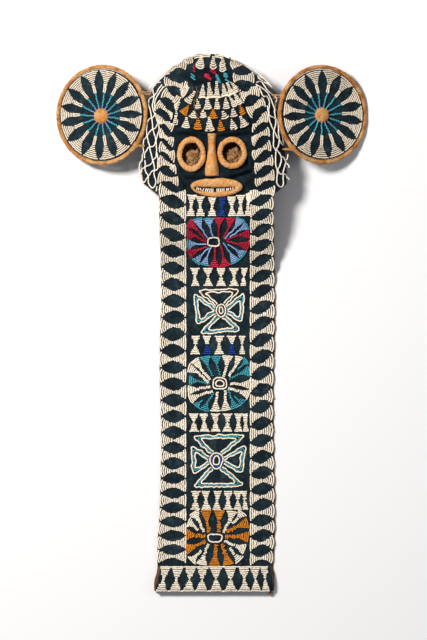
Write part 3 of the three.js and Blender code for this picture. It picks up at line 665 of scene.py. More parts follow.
def bag(name, outer, inner, paintUsed, node, waves, grid):
    # two skins of cloth, the inner one from the crown down and the outer one up again. The grid: points round
    # the hood, levels along it and levels over its crown
    around, along, crown = grid
    rows, turn = hood["rows"], circle(around)
    low, high = hood["stations"][0]["y"], hood["stations"][-1]["y"]
    levels = np.r_[np.linspace(low, rows["upTo"], along), np.linspace(rows["crownFrom"], high, crown)]
    skins = []
    for inset, order in ((inner, levels[::-1]), (outer, levels)):
        rings = np.array([hoodRing(y, turn, inset) for y in order])
        folded = foldHeight(rings[..., 0], rings[..., 1])
        rings[..., 2] += np.where(rings[..., 2] > hood["foldsAbove"], folded, 0)
        lift = sum(ripple(rings, wave, seed) * depth for wave, depth, seed in waves)
        rings[..., 2] += np.where(rings[..., 2] > hood["ripplesAbove"], lift, 0)
        skins.append(rings)
    points, faces = loft(np.vstack(skins))
    piece = makePiece(name, points, faces, [paintUsed], replaces=[node])
    cutAway(piece, hoodCutters())
    sharpEdges(piece)
    return piece


# Trunk panel

panel = dict(
    left=-94.5, right=115, footLeft=-100, wave=1.5, flatY=69, top=4.7, cloth=2.4, backing=2.0,
    innerLeft=-45.5, innerRight=70,
    foot=dict(crease=-447, top=-450, end=-493, base=2.3, height=17, flare=8, edge=6,
              # the inner edges of its two gussets, top and end, in pixels of the picture
              gussets=[[(160.4, 567), (155.4, 590)], [(270.2, 567), (273.6, 590)]],
              stations=[dict(y=-493, height=0.5), dict(y=-487, height=0.88), dict(y=-470, height=1),
                        dict(y=-454, height=0.7), dict(y=-447, height=0)]),
)
footCurve = curveOf(panel["foot"]["stations"], "height")


def panelLeft(y):
    toFoot = ease((y + 330) / -110)
    return panel["left"] + (panel["footLeft"] - panel["left"]) * toFoot + panel["wave"] * np.sin(y / 47)


def panelRight(y):
    return panel["right"] - 2 * ease((y + 380) / -70) + panel["wave"] * np.sin(y / 61 + 1)


def panelTop(x, y):
    # the cloth's upper face from the chin down to the crease, without the rolled foot
    rise = ease((y - panel["flatY"]) / (hood["chin"]["y"] - panel["flatY"]))
    chin = hoodFront(x, np.maximum(hood["chin"]["y"], chinLine(x))) - panel["top"]
    return panel["top"] + rise * chin


def footTop(x, y):
    return panelTop(x, y) + panel["foot"]["height"] * np.where(y < panel["foot"]["crease"], footCurve(y), 0)


def frontTop(x, y):
    # the panel and, above the chin, the hood: one surface for the beads that run on over both
    return np.where(y > chinLine(x), hoodFront(x, y), footTop(x, y))


def slab(columns, rows, plan, low, high):
    # a sheet with thickness over rows and columns in plan, closed all round
    u, v = np.meshgrid(columns, rows)
    x, y = plan(u, v)
    above, below = np.stack([x, y, high(x, y)], -1), np.stack([x, y, low(x, y)], -1)
    rings = np.concatenate([above, below[:, ::-1]], 1)
    wide = len(columns)
    points, faces = loft(rings)
    faces = faces[:-2]
    for start, flip in ((0, False), ((len(rows) - 1) * 2 * wide, True)):
        for j in range(wide - 1):
            quad = [start + j, start + j + 1, start + 2 * wide - 2 - j, start + 2 * wide - 1 - j]
            faces.append(quad[::-1] if flip else quad)
    return points, faces


def matchWinding(piece):
    # turns the faces out where a closed mesh came out inside out
    mesh = piece.data
    mesh.calc_loop_triangles()
    place = np.zeros(len(mesh.vertices) * 3)
    mesh.vertices.foreach_get("co", place)
    place = place.reshape(-1, 3)
    corners = np.zeros(len(mesh.loop_triangles) * 3, int)
    mesh.loop_triangles.foreach_get("vertices", corners)
    a, b, c = (place[corners.reshape(-1, 3)[:, k]] for k in range(3))
    if (a * np.cross(b, c)).sum() < 0:
        mesh.flip_normals()


def shell(name, rings, paintUsed, node=None, looped=False):
    # a closed piece over rings of points
    points, faces = loft(np.array(rings), looped)
    piece = makePiece(name, points, faces, [paintUsed], replaces=[node] if node else [])
    matchWinding(piece)
    return piece


def sheetPiece(name, form, paintUsed, node):
    # a sheet of cloth with sharp edges; the form is what slab takes
    points, faces = slab(*form)
    piece = makePiece(name, points, faces, [paintUsed], replaces=[node])
    matchWinding(piece)
    sharpEdges(piece, 60)
    return piece


def upToChin(x, v):
    # the sheets' upper ends follow the chin and stop just short of it
    top = chinLine(x) - 0.6
    return np.where(v >= hood["chin"]["y"] - 0.1, top, np.minimum(v, top))


def makePanel():
    columns = np.linspace(0, 1, 62)
    rows = np.linspace(panel["foot"]["crease"] - 4, hood["chin"]["y"], 310)

    def plan(u, v):
        x = panelLeft(v) + (panelRight(v) - panelLeft(v)) * u
        return x, upToChin(x, v)

    def high(x, y):
        spots = onFloor(x, y)
        return panelTop(x, y) + 0.45 * ripple(spots, 26, 3) + 0.3 * ripple(spots, 9, 4)

    def low(x, y):
        return panelTop(x, y) - panel["cloth"]

    form = (columns, rows, plan, low, high)
    return sheetPiece("trunkCloth", form, indigo, "trunk_panel")


def makeBacking():
    columns = np.linspace(0, 1, 40)
    rows = np.linspace(panel["foot"]["end"] + 1, hood["chin"]["y"], 280)

    def plan(u, v):
        flare = panel["foot"]["flare"] * ease((panel["foot"]["crease"] - v) / 34)
        ragged = 0.5 * np.sin(v / 3.1) + 0.5 * np.sin(v / 7.3 + 2)
        left = panelLeft(v) - 0.7 - flare * 0.9 + 0.4 * ragged
        right = panelRight(v) + 1.7 + flare * 0.4 + ragged
        x = left + (right - left) * u
        return x, upToChin(x, v)

    def high(x, y):
        under = np.where(y < panel["foot"]["crease"], 0, panelTop(x, y) - panel["top"])
        return panel["backing"] + under - 0.7 * ease((y - panel["flatY"]) / 30)

    def low(x, y):
        return high(x, y) - panel["backing"]

    form = (columns, rows, plan, low, high)
    return sheetPiece("raffiaBacking", form, raffia, "panel_backing")


def makeFoot():
    # the panel's end, rolled up and stuffed, with a flaring gusset at each side
    foot = panel["foot"]
    levels = np.linspace(foot["crease"], foot["end"], 26)
    rings = []
    for u in np.r_[0, 0.004, 0.012, np.linspace(0.025, 0.975, 90), 0.988, 0.996, 1]:
        flare = foot["flare"] * ease((foot["crease"] - levels) / 34)
        left, right = panelLeft(levels) - flare * 0.9, panelRight(levels) + flare * 0.4
        x = left + (right - left) * u
        edge = min(u, 1 - u) * 214  # the foot is this many millimetres wide
        full = math.sqrt(max(0.0, 1 - max(0.0, 1 - edge / foot["edge"]) ** 2)) * 0.75 + 0.25
        z = panel["top"] + foot["height"] * footCurve(levels) * full + 0.5 * ripple(onFloor(x, levels), 22, 8)
        above = np.stack([x, levels, np.maximum(z, foot["base"] + 0.6)], -1)
        below = np.stack([x, levels, np.full_like(x, foot["base"])], -1)[::-1]
        rings.append(np.vstack([above, below]))
    points, faces = loft(np.array(rings))
    (topLeft, endLeft), (topRight, endRight) = spot(foot["gussets"])
    middle = np.array([points[list(face)].mean(0) for face in faces])
    down = (topLeft[1] - middle[:, 1]) / (topLeft[1] - endLeft[1])
    bare = middle[:, 0] < topLeft[0] + (endLeft[0] - topLeft[0]) * down
    bare |= middle[:, 0] > topRight[0] + (endRight[0] - topRight[0]) * down
    piece = makePiece("footRoll", points, faces, [indigo, dirtyRaffia], bare.astype(int),
                      ["trunk_panel"])
    matchWinding(piece)
    sharpEdges(piece, 60)


# Bead patterns of the panel

onFront = onTop(frontTop, beadForm["lift"])
borders = [
    dict(side=-1, count=25, start=258.6, length=700.8, bow=-16.9, swing=5.2, slope=-0.26, inner="innerLeft",
         outer=panelLeft),
    dict(side=1, count=24, start=232.1, length=679, bow=3, swing=6.7, slope=0.36, inner="innerRight",
         outer=panelRight),
]
borderForm = dict(gap=0.7, lens=1.7, outerBow=3.6, innerBow=1.2, outerHem=1.6, innerHem=1.7)


def diamondY(line, index):
    t = index / (line["count"] - 1)
    bend = line["bow"] * math.sin(math.pi * t) + line["swing"] * math.sin(2 * math.pi * t)
    return line["start"] - line["length"] * t + bend


# The patch over the join of hood and panel at the right, by its cross lines in pixels of the picture
chinPatch = [((274.5, 185.2), (273, 196.8)), ((267, 189.2), (267.5, 194.7)),
             ((260.6, 191.8), (260.9, 194.9)), ((255.5, 189.6), (256.2, 198.3)),
             ((250.2, 190.6), (251.4, 201.3)), ((246.3, 194.3), (248.8, 204))]


def lensPatch(beads, inner, outer, end, waist):
    # the beads between two dark lens shapes: wide at both ends and narrow in the middle
    middle = beads.dice.uniform(0.44, 0.56)

    def half(t):
        far = (t - middle) / (1 - middle if t > middle else middle)
        return end - (end - waist) * (1 - abs(far) ** borderForm["lens"])

    def bow(t):
        s = 2 * t - 1
        return (borderForm["outerBow"] if s > 0 else -borderForm["innerBow"]) * s * s

    beads.fan(inner, outer, (0, 1), half, bow, "cream")


def borderBeads(line, seed):
    side = line["side"]
    beads = beadwork("borderBeads" + ("Left" if side < 0 else "Right"), onFront, seed)
    for i in range(line["count"] - 1):
        above, below = diamondY(line, i), diamondY(line, i + 1)
        y = (above + below) / 2
        if i == line["count"] - 2:
            below = max(below, panel["foot"]["crease"] + 1)
        outer = line["outer"](y) - side * borderForm["outerHem"]
        inner = panel[line["inner"]] + side * borderForm["innerHem"]
        slope = line["slope"] * (0.35 + 0.65 * ease((y + 420) / 480) if side > 0 else ease((y - 60) / 130))
        rise = slope * abs(outer - inner) / 2 * side
        middle, end = (above + below) / 2, (above - below) / 2 - borderForm["gap"]
        lensPatch(beads, (inner, middle - rise), (outer, middle + rise), end, beads.dice.uniform(2.2, 3.2))
    if side > 0:
        beads.patch(spot(chinPatch), "cream")
    beads.make()


# Bands of hourglasses across the panel: upper and lower edge, half width and middles
bands = [
    dict(top=246, end=202, half=8.6, xs=[-37.2, -20.7, 1.1, 19.6, 37.6, 53.8, 67.5],
         inks=["cream"] * 3 + ["cobalt"] + ["cream"] * 3),
    dict(top=108, end=73, half=9.3, xs=[-30.5, -6.3, 17.8, 41.8, 60], inks=["cream"] * 5),
    dict(top=-18.5, end=-54, half=9.2, xs=[-29.8, -8.1, 14.4, 37.9, 57],
         inks=["cream", "creamCobalt", "cream", "creamCobalt", "cream"]),
    dict(top=-163, end=-198, half=8.8, xs=[-32.7, -13.7, 7.6, 29.8, 50.1, 63.3], inks=["cream"] * 6),
    dict(top=-307, end=-343, half=8.6, xs=[-29.6, -10, 10.7, 30.9, 49, 61.8], inks=["cream"] * 6),
]
bandForm = dict(waist=2.2, footWaist=1.6, power=1.2, lastShare=0.66, bow=0.5)
# The foot's hourglasses: middle and half width of each at the top and at the end
footRow = [(-85.1, 10.2, -93.4, 10.4), (-62.7, 10.6, -67.4, 10.6), (-38.4, 10.6, -42.6, 10.4),
           (-16.4, 10.4, -18.3, 10.8), (8.2, 11.8, 8.9, 11.2), (35.0, 11.2, 35.9, 11.2),
           (60.2, 10.4, 61.8, 10.6), (80.6, 9.0, 83, 9.0), (98.0, 7.8, 101, 7.2)]


def bandBeads():
    beads = beadwork("bandBeads", onFront, 21)
    form = bandForm
    for band in bands:
        for place, (x, ink) in enumerate(zip(band["xs"], band["inks"])):
            last = place == len(band["xs"]) - 1
            half = band["half"] * (form["lastShare"] if last else beads.dice.uniform(0.94, 1.05))
            lean = beads.dice.normal(0, 0.7)

            def width(t, half=half):
                return half - (half - form["waist"]) * (1 - abs(2 * t - 1) ** form["power"])

            def shade(t, ink=ink):
                return ("cream" if t < 0.5 else "cobalt") if ink == "creamCobalt" else ink

            top, end = (x + lean, min(band["top"], chinLine(x) + 1.5)), (x - lean, band["end"])
            beads.fan(top, end, (1, 0), width, lambda t: form["bow"] * (1 - 2 * t), shade)
    foot = panel["foot"]
    for high, highHalf, low, lowHalf in footRow:

        def width(t, halves=(highHalf, lowHalf)):
            return form["footWaist"] + (halves[t >= 0.5] - form["footWaist"]) * abs(2 * t - 1)

        beads.fan((high, foot["top"] - 0.6), (low, foot["end"] + 1.4), (1, 0), width, straight, "cream")
    for y, left, right in ((foot["top"] + 0.2, -95, 105), (foot["end"] + 1.2, -103, 108)):
        beads.string([(x, y) for x in np.linspace(left, right, 30)], "cream", sway=0.2)
    beads.make()


# The three wheels of spokes round a small ring. Each spoke: the angle where it ends and where it starts,
# how far out it ends and starts, and its colour
wheels = [
    dict(x=3.9, y=155.4, ring=(11.2, 8.3), rings=1, edge="teal", edged="sky", spokes=[
        (13, 11, 67, 23, "red"), (26, 16, 69, 31, "sky"), (40, 17, 65.5, 21, "sky"),
        (54, 18, 54, 19, "red"), (77, 40, 45, 12, "red"), (102, 95, 44, 9, "sky"),
        (125, 150, 52, 12, "sky"), (142, 170, 57.5, 13, "red"), (163, 181, 50.5, 15, "red"),
        (185, 198, 48, 14, "sky"), (206, 214, 50, 14, "red"), (228, 228, 50, 14, "sky"),
        (248, 244, 46, 10, "sky"), (272, 290, 45.5, 9, "red"), (296, 336, 49.5, 15, "red"),
        (318, 356, 55.5, 18, "sky"), (336, 352, 61, 27, "sky"), (353, 4, 64.5, 24, "red")]),
    dict(x=15.4, y=-107.7, ring=(13.4, 11), rings=2, edge=None, edged=None, spokes=[
        (23, 25, 59, 19, "teal"), (41, 37, 66, 42, "teal"), (54, 38, 61, 21, "cream"),
        (74, 59, 53, 14, "cream"), (98, 88, 51, 15, "teal"), (119, 134, 57, 18, "teal"),
        (137, 158, 64, 19, "cream"), (153, 177, 65, 21, "cream"), (174, 183, 57, 19, "teal"),
        (192, 200, 60, 18, "cream"), (208, 226, 63, 19, "cream"), (223, 225, 61, 44, "teal"),
        (240, 238, 58, 20, "teal"), (261, 254, 52, 16, "cream"), (283, 309, 51, 17, "cream"),
        (302, 326, 54, 18, "teal"), (320, 318, 57, 36, "teal"), (339, 330, 58, 18, "cream"),
        (358, 0, 57, 19, "cream")]),
    dict(x=6.5, y=-395.0, ring=(13.8, 7.6), rings=1, edge=None, edged=None, spokes=[
        (2, 7, 62, 19, "orange"), (25, 27, 67, 24, "orange"), (43, 39, 70, 42, "cream"),
        (57, 33, 59, 18, "cream"), (81, 56, 52, 13, "orange"), (108, 140, 54, 15, "orange"),
        (129, 152, 62, 23, "cream"), (148, 154, 58, 34, "cream"), (173, 169, 53, 18, "orange"),
        (201, 200, 57, 18, "orange"), (224, 224, 61, 34, "cream"), (243, 222, 55, 16, "cream"),
        (269, 282, 51, 12, "orange"), (297, 320, 55, 17, "orange"), (318, 327, 62, 33, "cream"),
        (339, 342, 59, 18, "cream")]),
]
spokeForm = dict(endHalf=10.2, row=3.1, short=26, stem=1.6, stems={"cream": 2.5, "orange": 3.3})


def compass(degrees, reach):
    return wayAt(math.radians(degrees)) * reach


def wheelBeads():
    beads = beadwork("wheelBeads", onFront, 31)
    bead = beadForm["length"]
    for wheel in wheels:
        centre, spokes = np.array([wheel["x"], wheel["y"]]), wheel["spokes"]
        ends = [centre + compass(spoke[0], spoke[2] + 0.3) for spoke in spokes]
        for k, (_, startAngle, _, startReach, ink) in enumerate(spokes):
            inner, outer = centre + compass(startAngle, startReach), ends[k]
            before, after = ends[k - 1], ends[(k + 1) % len(ends)]
            edge = unit(after - before)
            room = min(np.linalg.norm(outer - before), np.linalg.norm(outer - after)) / 2
            endHalf = min(spokeForm["endHalf"], room * 1.02)
            length = np.linalg.norm(outer - inner)
            short = length < spokeForm["short"]
            # the spoke leaves the ring at a slant and meets the wheel's edge more squarely
            bend = outer - squareTo(edge, outer - inner) * length * 0.45
            neck = inner * 0.5 + outer * 0.5 if short else inner * 0.24 + outer * 0.32 + bend * 0.44
            stem = softened([inner, inner * 0.45 + neck * 0.55, neck])
            stemHalf = spokeForm["stems"].get(ink, spokeForm["stem"])
            if ink in spokeForm["stems"]:
                run = travelledOn(stem)
                for at in np.arange(spokeForm["row"] / 2, run[-1], spokeForm["row"]):
                    here, ahead = (pointAt(at + d, run, stem) for d in (-1, 1))
                    across = unit(np.array([here[1] - ahead[1], ahead[0] - here[0]]))
                    half = bead / 2 * round(2 * stemHalf / bead + beads.dice.uniform(-0.3, 0.3))
                    shift = beads.dice.normal(0, 0.6)
                    beads.string([(here + ahead) / 2 + across * (half * r + shift) for r in (-1, 1)], ink)
            elif ink == "sky" or short:
                beads.string(stem, ink, sway=0.45)
            else:
                beads.string(stem, ink, sway=0.3, stagger=0.95)
            way, flare = unit(outer - neck), np.linalg.norm(outer - neck)
            normal = squareTo(way, edge)
            count = max(2, round(flare / spokeForm["row"]))
            for i in range(count):
                t = (i + 0.5) / count
                half = stemHalf + (endHalf - stemHalf) * ((i + 1) / count) ** 1.3
                rowWay = unit(normal * (1 - t) + edge * t)
                r = np.linspace(-1, 1, 5)[:, None]
                reach = rowWay * r * beadsFor(2 * half, 0) * bead / 2
                line = neck + way * flare * t + reach + way * 1.1 * (1 - r * r) * t
                beads.string(line, wheel["edge"] if ink == wheel["edged"] and i == count - 1 else ink)
        turn = circle(40)
        for i in range(wheel["rings"]):
            size = np.array(wheel["ring"]) - (5.6, 5.2) * np.array(i)
            square = 1 + (0.07 - 0.05 * i) * np.cos(4 * turn + math.pi) + 0.04 * np.sin(3 * turn + wheel["x"])
            beads.string(centre + oval(turn, *size) * square[:, None], "cream", closed=True)
    beads.make()


# The two crosses: four triangles drawn in three strings each that run out of a small ring. The ring's centre,
# the triangles' outer corners and the rings' half widths and heights are in pixels of the picture
crosses = [
    dict(centre=(221.1, 310.5), inks=["black", "teal", "teal", "teal"],
         corners=[((195, 289.4), (242.4, 288.2)), ((192.8, 290.6), (196.4, 326.8)),
                 ((245.4, 290.4), (242.8, 324.2)), ((196.6, 335), (244.2, 331.2))],
         rings=[(4.7, 6.3, "cream"), (3.2, 4.8, "black"), (1.9, 3.4, "cream")]),
    dict(centre=(216.5, 461.2), inks=["teal", "teal", "teal", "teal"],
         corners=[((189.8, 435.6), (249.4, 434.4)), ((190.6, 444.6), (192, 477)),
                 ((247.2, 443.8), (242.8, 475.6)), ((189.8, 488.8), (247.6, 487.6))],
         rings=[(6.4, 7.9, "cream"), (4.8, 6.2, "cobalt"), (3.2, 4.5, "cream")]),
]
crossForm = dict(pitch=2.95, wave=13, wander=1.1)


def crossBeads():
    beads = beadwork("crossBeads", onFront, 41)
    for cross in crosses:
        centre = spot(cross["centre"])
        ringX, ringY = (size * pixel + 2.2 for size in cross["rings"][0][:2])
        for number, (pair, middleInk) in enumerate(zip(cross["corners"], cross["inks"])):
            corners = np.array([centre, *spot(pair)])
            sides = np.linalg.norm(np.roll(corners, -1, 0) - np.roll(corners, 1, 0), axis=1)
            heart = (corners * sides[:, None]).sum(0) / sides.sum()
            a, b = corners[1] - corners[0], corners[2] - corners[0]
            inside = abs(a[0] * b[1] - a[1] * b[0]) / sides.sum()
            pitch = crossForm["pitch"] * (0.82 if middleInk == "black" else 1)
            for i, ink in enumerate(("cream", middleInk, "cream")):
                tip, first, last = heart + (corners - heart) * (1 - (i * pitch + 1.2) / inside)
                line = [tip, *(tip + (first - tip) * f for f in (0.5, 0.91)),
                        *(first + (last - first) * f for f in (0.08, 0.35, 0.65, 0.92)),
                        *(last + (tip - last) * f for f in (0.09, 0.5, 1))]
                line = softened(line)
                run = travelledOn(line)
                at = np.arange(0, run[-1], 1.0)
                line = pointAt(at, run, line)
                for axis in (0, 1):
                    wander = ripple(np.c_[line, at * 0], crossForm["wave"], 43 + 2 * number + axis)
                    line[:, axis] += crossForm["wander"] * wander
                off = (line - centre) / (ringX, ringY)
                beads.string(line[(off * off).sum(1) > 1], ink, sway=0.2, size=0.8 if i == 1 else 1.0)
        turn = circle(36)
        for halfX, halfY, ink in cross["rings"]:
            uneven = 1 + 0.05 * np.sin(3 * turn + halfX)
            loop = oval(turn, halfX, halfY) * pixel * uneven[:, None]
            beads.string(centre + loop, ink, closed=True, sway=0.25)
    beads.make()


# Face

eyes = [
    dict(name="Left", node="eye_ring_left", x=-36.9, y=315.2, holeX=17.4, holeY=21.4,
         sideWidth=9.8, endWidth=11.6, lump=(-32.2, 306.5, 89), size=(15.5, 17.5, 11)),
    dict(name="Right", node="eye_ring_right", x=37.9, y=317.8, holeX=17.9, holeY=19.4,
         sideWidth=10.2, endWidth=10.8, lump=(41, 312.5, 89), size=(14.5, 15.5, 11)),
]
faceForm = dict(ringHeight=10.5, clear=0.6, gather=0.2)


def eyeRing(eye, seed):
    rings, centre, hole = [], np.array([eye["x"], eye["y"]]), np.array([eye["holeX"], eye["holeY"]])
    turn = circle(22)
    for angle in circle(180):
        way = wayAt(angle)
        width = eye["sideWidth"] + (eye["endWidth"] - eye["sideWidth"]) * way[1] ** 2
        middle = centre + way * (hole - 0.6 + width / 2)
        notch = (0.5 + 0.5 * math.sin(angle * 25 + 2.4 * math.sin(angle * 3 + seed))) ** 3
        gather = 1 - faceForm["gather"] * (0.7 - 0.3 * np.cos(turn)) * notch
        out = np.cos(turn) * width / 2 * gather
        x, y = middle[0] + out * way[0], middle[1] + out * way[1]
        z = hoodFront(x, y) + faceForm["clear"] + faceForm["ringHeight"] / 2 * (1 + np.sin(turn) * gather)
        rings.append(np.stack([x, y, z], -1))
    piece = shell("eyeRing" + eye["name"], rings, tan, eye["node"], looped=True)
    rumple(piece, (14, 0.4, seed), (6, 0.3, seed + 1), (3.2, 0.14, seed + 2))


def crumple(eye, seed):
    # raffia cloth that bulges up behind the eye hole
    rings = []
    for tilt in np.linspace(0.03, math.pi - 0.03, 60):
        ball = ballRing(tilt, 96)
        # creases: valleys where a slow wave crosses nought
        broad, narrow = ripple(ball * 10, 9, seed + 3), ripple(ball * 10, 6, seed + 4)
        crease = np.exp(-(broad / 0.2) ** 2) + 0.7 * np.exp(-(narrow / 0.16) ** 2)
        bulge = 1.06 + 0.16 * ripple(ball * 10, 7, seed) - 0.34 * crease
        rings.append(np.array(eye["lump"]) + ball * eye["size"] * bulge[:, None])
    piece = shell("raffiaCrumple" + eye["name"], rings, raffia)
    rumple(piece, (6, 0.6, seed), (3, 0.35, seed + 1))


nose = dict(x=0.8, topY=353.5, endY=275.2, topHalf=7.9, neckHalf=6.6, endHalf=12.9, topRise=10, endRise=17,
            length=78, edge=2.2)


def makeNose():
    rings = []
    for t in np.r_[0, 0.006, np.linspace(0.015, 0.985, 60), 0.994, 1]:
        y = nose["topY"] + (nose["endY"] - nose["topY"]) * t
        flare = (nose["topHalf"] - nose["neckHalf"]) * (1 - ease(t / 0.22))
        half = nose["neckHalf"] + flare + (nose["endHalf"] - nose["neckHalf"]) * ease((t - 0.3) / 0.62)
        rise = nose["topRise"] + (nose["endRise"] - nose["topRise"]) * ease(t)
        # both ends are rounded over a short edge
        rounding = math.sqrt(max(0.0, 1 - max(0.0, 1 - min(t, 1 - t) * nose["length"] / nose["edge"]) ** 2))
        half, rise = half * (0.86 + 0.14 * rounding), rise * (0.8 + 0.2 * rounding)
        turn = np.linspace(0, math.pi, 26)
        x = nose["x"] + half * np.cos(turn)
        y = np.full_like(x, y)
        rings.append(np.stack([x, y, hoodFront(x, y) + faceForm["clear"] + rise * np.sin(turn)], -1))
    piece = shell("noseBolster", rings, tan, "nose")
    sharpEdges(piece, 70)
    rumple(piece, (12, 0.3, 61), (5, 0.2, 62), (3, 0.12, 63))


mouth = dict(x=9.3, y=254.2, halfX=47.6, halfY=17.4, slitX=-3.2, slitY=-1.6, slitHalfX=37, slitHalfY=4.2,
             sag=4.5, height=9.5)
toothForm = dict(half=3.4, less=1.6, down=1.2, size=0.72)
# Each tooth: where it stands along the slit, in pixels of the picture, and how far its top leans to the right
teeth = [(196.9, -0.6), (198.5, -0.7), (200.7, -1.4), (203.3, 1.7), (206, 2.2), (207.8, 2.1), (209.7, 1.2),
         (211.3, 0.7), (212.9, 0.8), (217, -1.4), (218.6, -1.1), (220.4, -0.6), (222.1, 0.1), (223.9, -0.4),
         (226.7, 0.8), (228.4, 0.8), (230.6, 1.2), (232.7, 0.6)]


def lipLine(angle, halfX, halfY, sag, power=1.0):
    x = np.cos(angle) * halfX
    y = np.sign(np.sin(angle)) * np.abs(np.sin(angle)) ** power * halfY
    return mouth["x"] + x, mouth["y"] + y - sag * (1 - (x / mouth["halfX"]) ** 2) + mouth["sag"] * 0.5


def makeMouth():
    rings = []
    turn = circle(22)
    for angle in circle(120):
        innerX, innerY = lipLine(angle, mouth["slitHalfX"], mouth["slitHalfY"], mouth["sag"], 0.5)
        innerX, innerY = innerX + mouth["slitX"], innerY + mouth["slitY"]
        outerX, outerY = lipLine(angle, mouth["halfX"], mouth["halfY"], mouth["sag"] * 0.5)
        # the upper lip's edge dips near its middle
        outerY -= 1.6 * math.exp(-((outerX - 2) / 7) ** 2) * (math.sin(angle) > 0)
        t = 0.5 + 0.5 * np.cos(turn)
        x, y = innerX + (outerX - innerX) * t, innerY + (outerY - innerY) * t
        pucker = 1 + 0.05 * math.sin(angle * 46) * (t < 0.4)
        z = hoodFront(x, y) + faceForm["clear"] + mouth["height"] / 2 * (1 + np.sin(turn)) * pucker
        rings.append(np.stack([x, y, z], -1))
    piece = shell("lips", rings, tan, "mouth", looped=True)
    rumple(piece, (14, 0.35, 71), (5, 0.2, 72), (3, 0.12, 73))
    beads = beadwork("toothBeads", onTop(lambda x, y: hoodFront(x, y) + 1.0, 2.0), 75)
    for place, lean in teeth:
        x = spot((place, 0))[0]
        away = (x - mouth["x"] - mouth["slitX"]) / mouth["slitHalfX"]
        middle = mouth["y"] + mouth["slitY"] - mouth["sag"] * (0.5 - away * away) - toothForm["down"]
        half = toothForm["half"] - toothForm["less"] * away * away
        line = [(x - lean / 2, middle - half), (x, middle), (x + lean / 2, middle + half)]
        beads.string(line, "white", size=toothForm["size"])
    beads.make(replaces=["teeth"])


# Forehead layer and crown

brow = dict(left=-67, right=72, topLeft=-46, topRight=44, y=359, rise=9, topY=446, clear=1.5, thickness=2.6,
            lift=3.0)
# Triangles of the forehead: tip, middle of the base and half its width, in pixels of the picture
browTriangles = {
    "shadedCream": [
        ((176.3, 116.5), (175.4, 125.6), 3.4), ((186.9, 118.2), (186, 128.6), 4.7),
        ((209, 118), (210, 131.9), 5.2), ((231.1, 120), (233.9, 130.5), 4.0),
        ((239.8, 117), (244.6, 127.2), 4.8), ((194.5, 112.5), (193, 118.6), 4.3),
        ((203, 110.3), (203.7, 118.5), 4.3), ((222.7, 112.2), (225.4, 119.4), 4.4),
        ((232.4, 110), (234, 117.6), 3.8), ((197.6, 100.4), (198.2, 109.4), 3.4),
        ((207.1, 99.7), (208.1, 110.2), 4.7), ((216.8, 99.6), (217.1, 110.1), 3.4),
        ((225.6, 98.8), (226.3, 109.8), 4.2), ((228.6, 96.9), (235.1, 107.3), 3.2),
        ((234, 94.7), (240, 105.2), 3.4), ((203, 86), (202.4, 98), 3.3), ((209, 84), (210.3, 98.4), 3.3),
        ((216.7, 83), (217, 98.2), 3.1), ((222.7, 85.2), (225.1, 96.6), 3.3),
        ((226.9, 84.2), (231.4, 94.8), 3.2), ((230.6, 83.6), (236.7, 91.8), 3.4),
        ((195.3, 92.8), (187.7, 103.5), 4.4)],
    "orange": [
        ((198.7, 119), (197.9, 130.1), 4.9), ((220.1, 120.9), (221.4, 131.6), 3.9),
        ((189.2, 106.5), (183.4, 114.8), 4.6), ((213.4, 110.7), (213, 119.2), 5.4),
        ((239.5, 106.8), (243, 115.2), 3.2)],
}
browLine = [(198.5, 98.9), (206, 99.1), (213, 99), (220, 98.7), (228, 97), (235, 94.4), (240.5, 91.5)]


def browSides(v):
    left = brow["left"] + (brow["topLeft"] - brow["left"]) * v
    return left, brow["right"] + (brow["topRight"] - brow["right"]) * v


def browLower(x):
    middle, half = (brow["left"] + brow["right"]) / 2, (brow["right"] - brow["left"]) / 2
    return brow["y"] + brow["rise"] * ((x - middle) / half) ** 2


def browPlan(u, v):
    left, right = browSides(v)
    x = left + (right - left) * u
    return x, browLower(x) + (brow["topY"] - browLower(x)) * v


def browTop(x, y):
    # the lower edge stands free and throws a shadow on the face
    free = brow["lift"] * (1 - ease((y - brow["y"]) / 26))
    return hoodFront(x, y) + brow["clear"] + brow["thickness"] + free


def headTop(x, y):
    # the forehead's layer where it lies over the hood, and the hood beside it
    left, right = browSides(np.clip((y - brow["y"]) / (brow["topY"] - brow["y"]), 0, 1))
    inside = (x > left) & (x < right) & (y > browLower(x) - 1) & (y < brow["topY"])
    return np.where(inside, browTop(x, y), hoodFront(x, y))


onHead = onTop(headTop, beadForm["hoodLift"], hoodFront)


def triangle(beads, tip, base, half, ink, sag=2.0):
    # rows from a narrow tip to a wide base, each one hanging lower in its middle
    tip, base, half = spot(tip), spot(base), half * pixel
    way, least = base - tip, 1.8

    def width(t):
        return least + (half - least) * t ** 1.3

    beads.fan(tip, base, (-way[1], way[0]), width, lambda t: sag * t, ink)


def makeBrow():
    def high(x, y):
        return browTop(x, y) + 0.5 * ripple(onFloor(x, y), 18, 12)

    def low(x, y):
        return high(x, y) - brow["thickness"]

    form = (np.linspace(0, 1, 56), np.linspace(0, 1, 36), browPlan, low, high)
    piece = sheetPiece("browLayer", form, indigo, "brow_band")
    beads = beadwork("browBeads", onHead, 81)
    for ink, triangles in browTriangles.items():
        for tip, base, half in triangles:
            triangle(beads, tip, base, half, ink)
    beads.string(softened([spot(place) for place in browLine]), "shadedCream", sway=0.4)
    beads.make()
    return piece


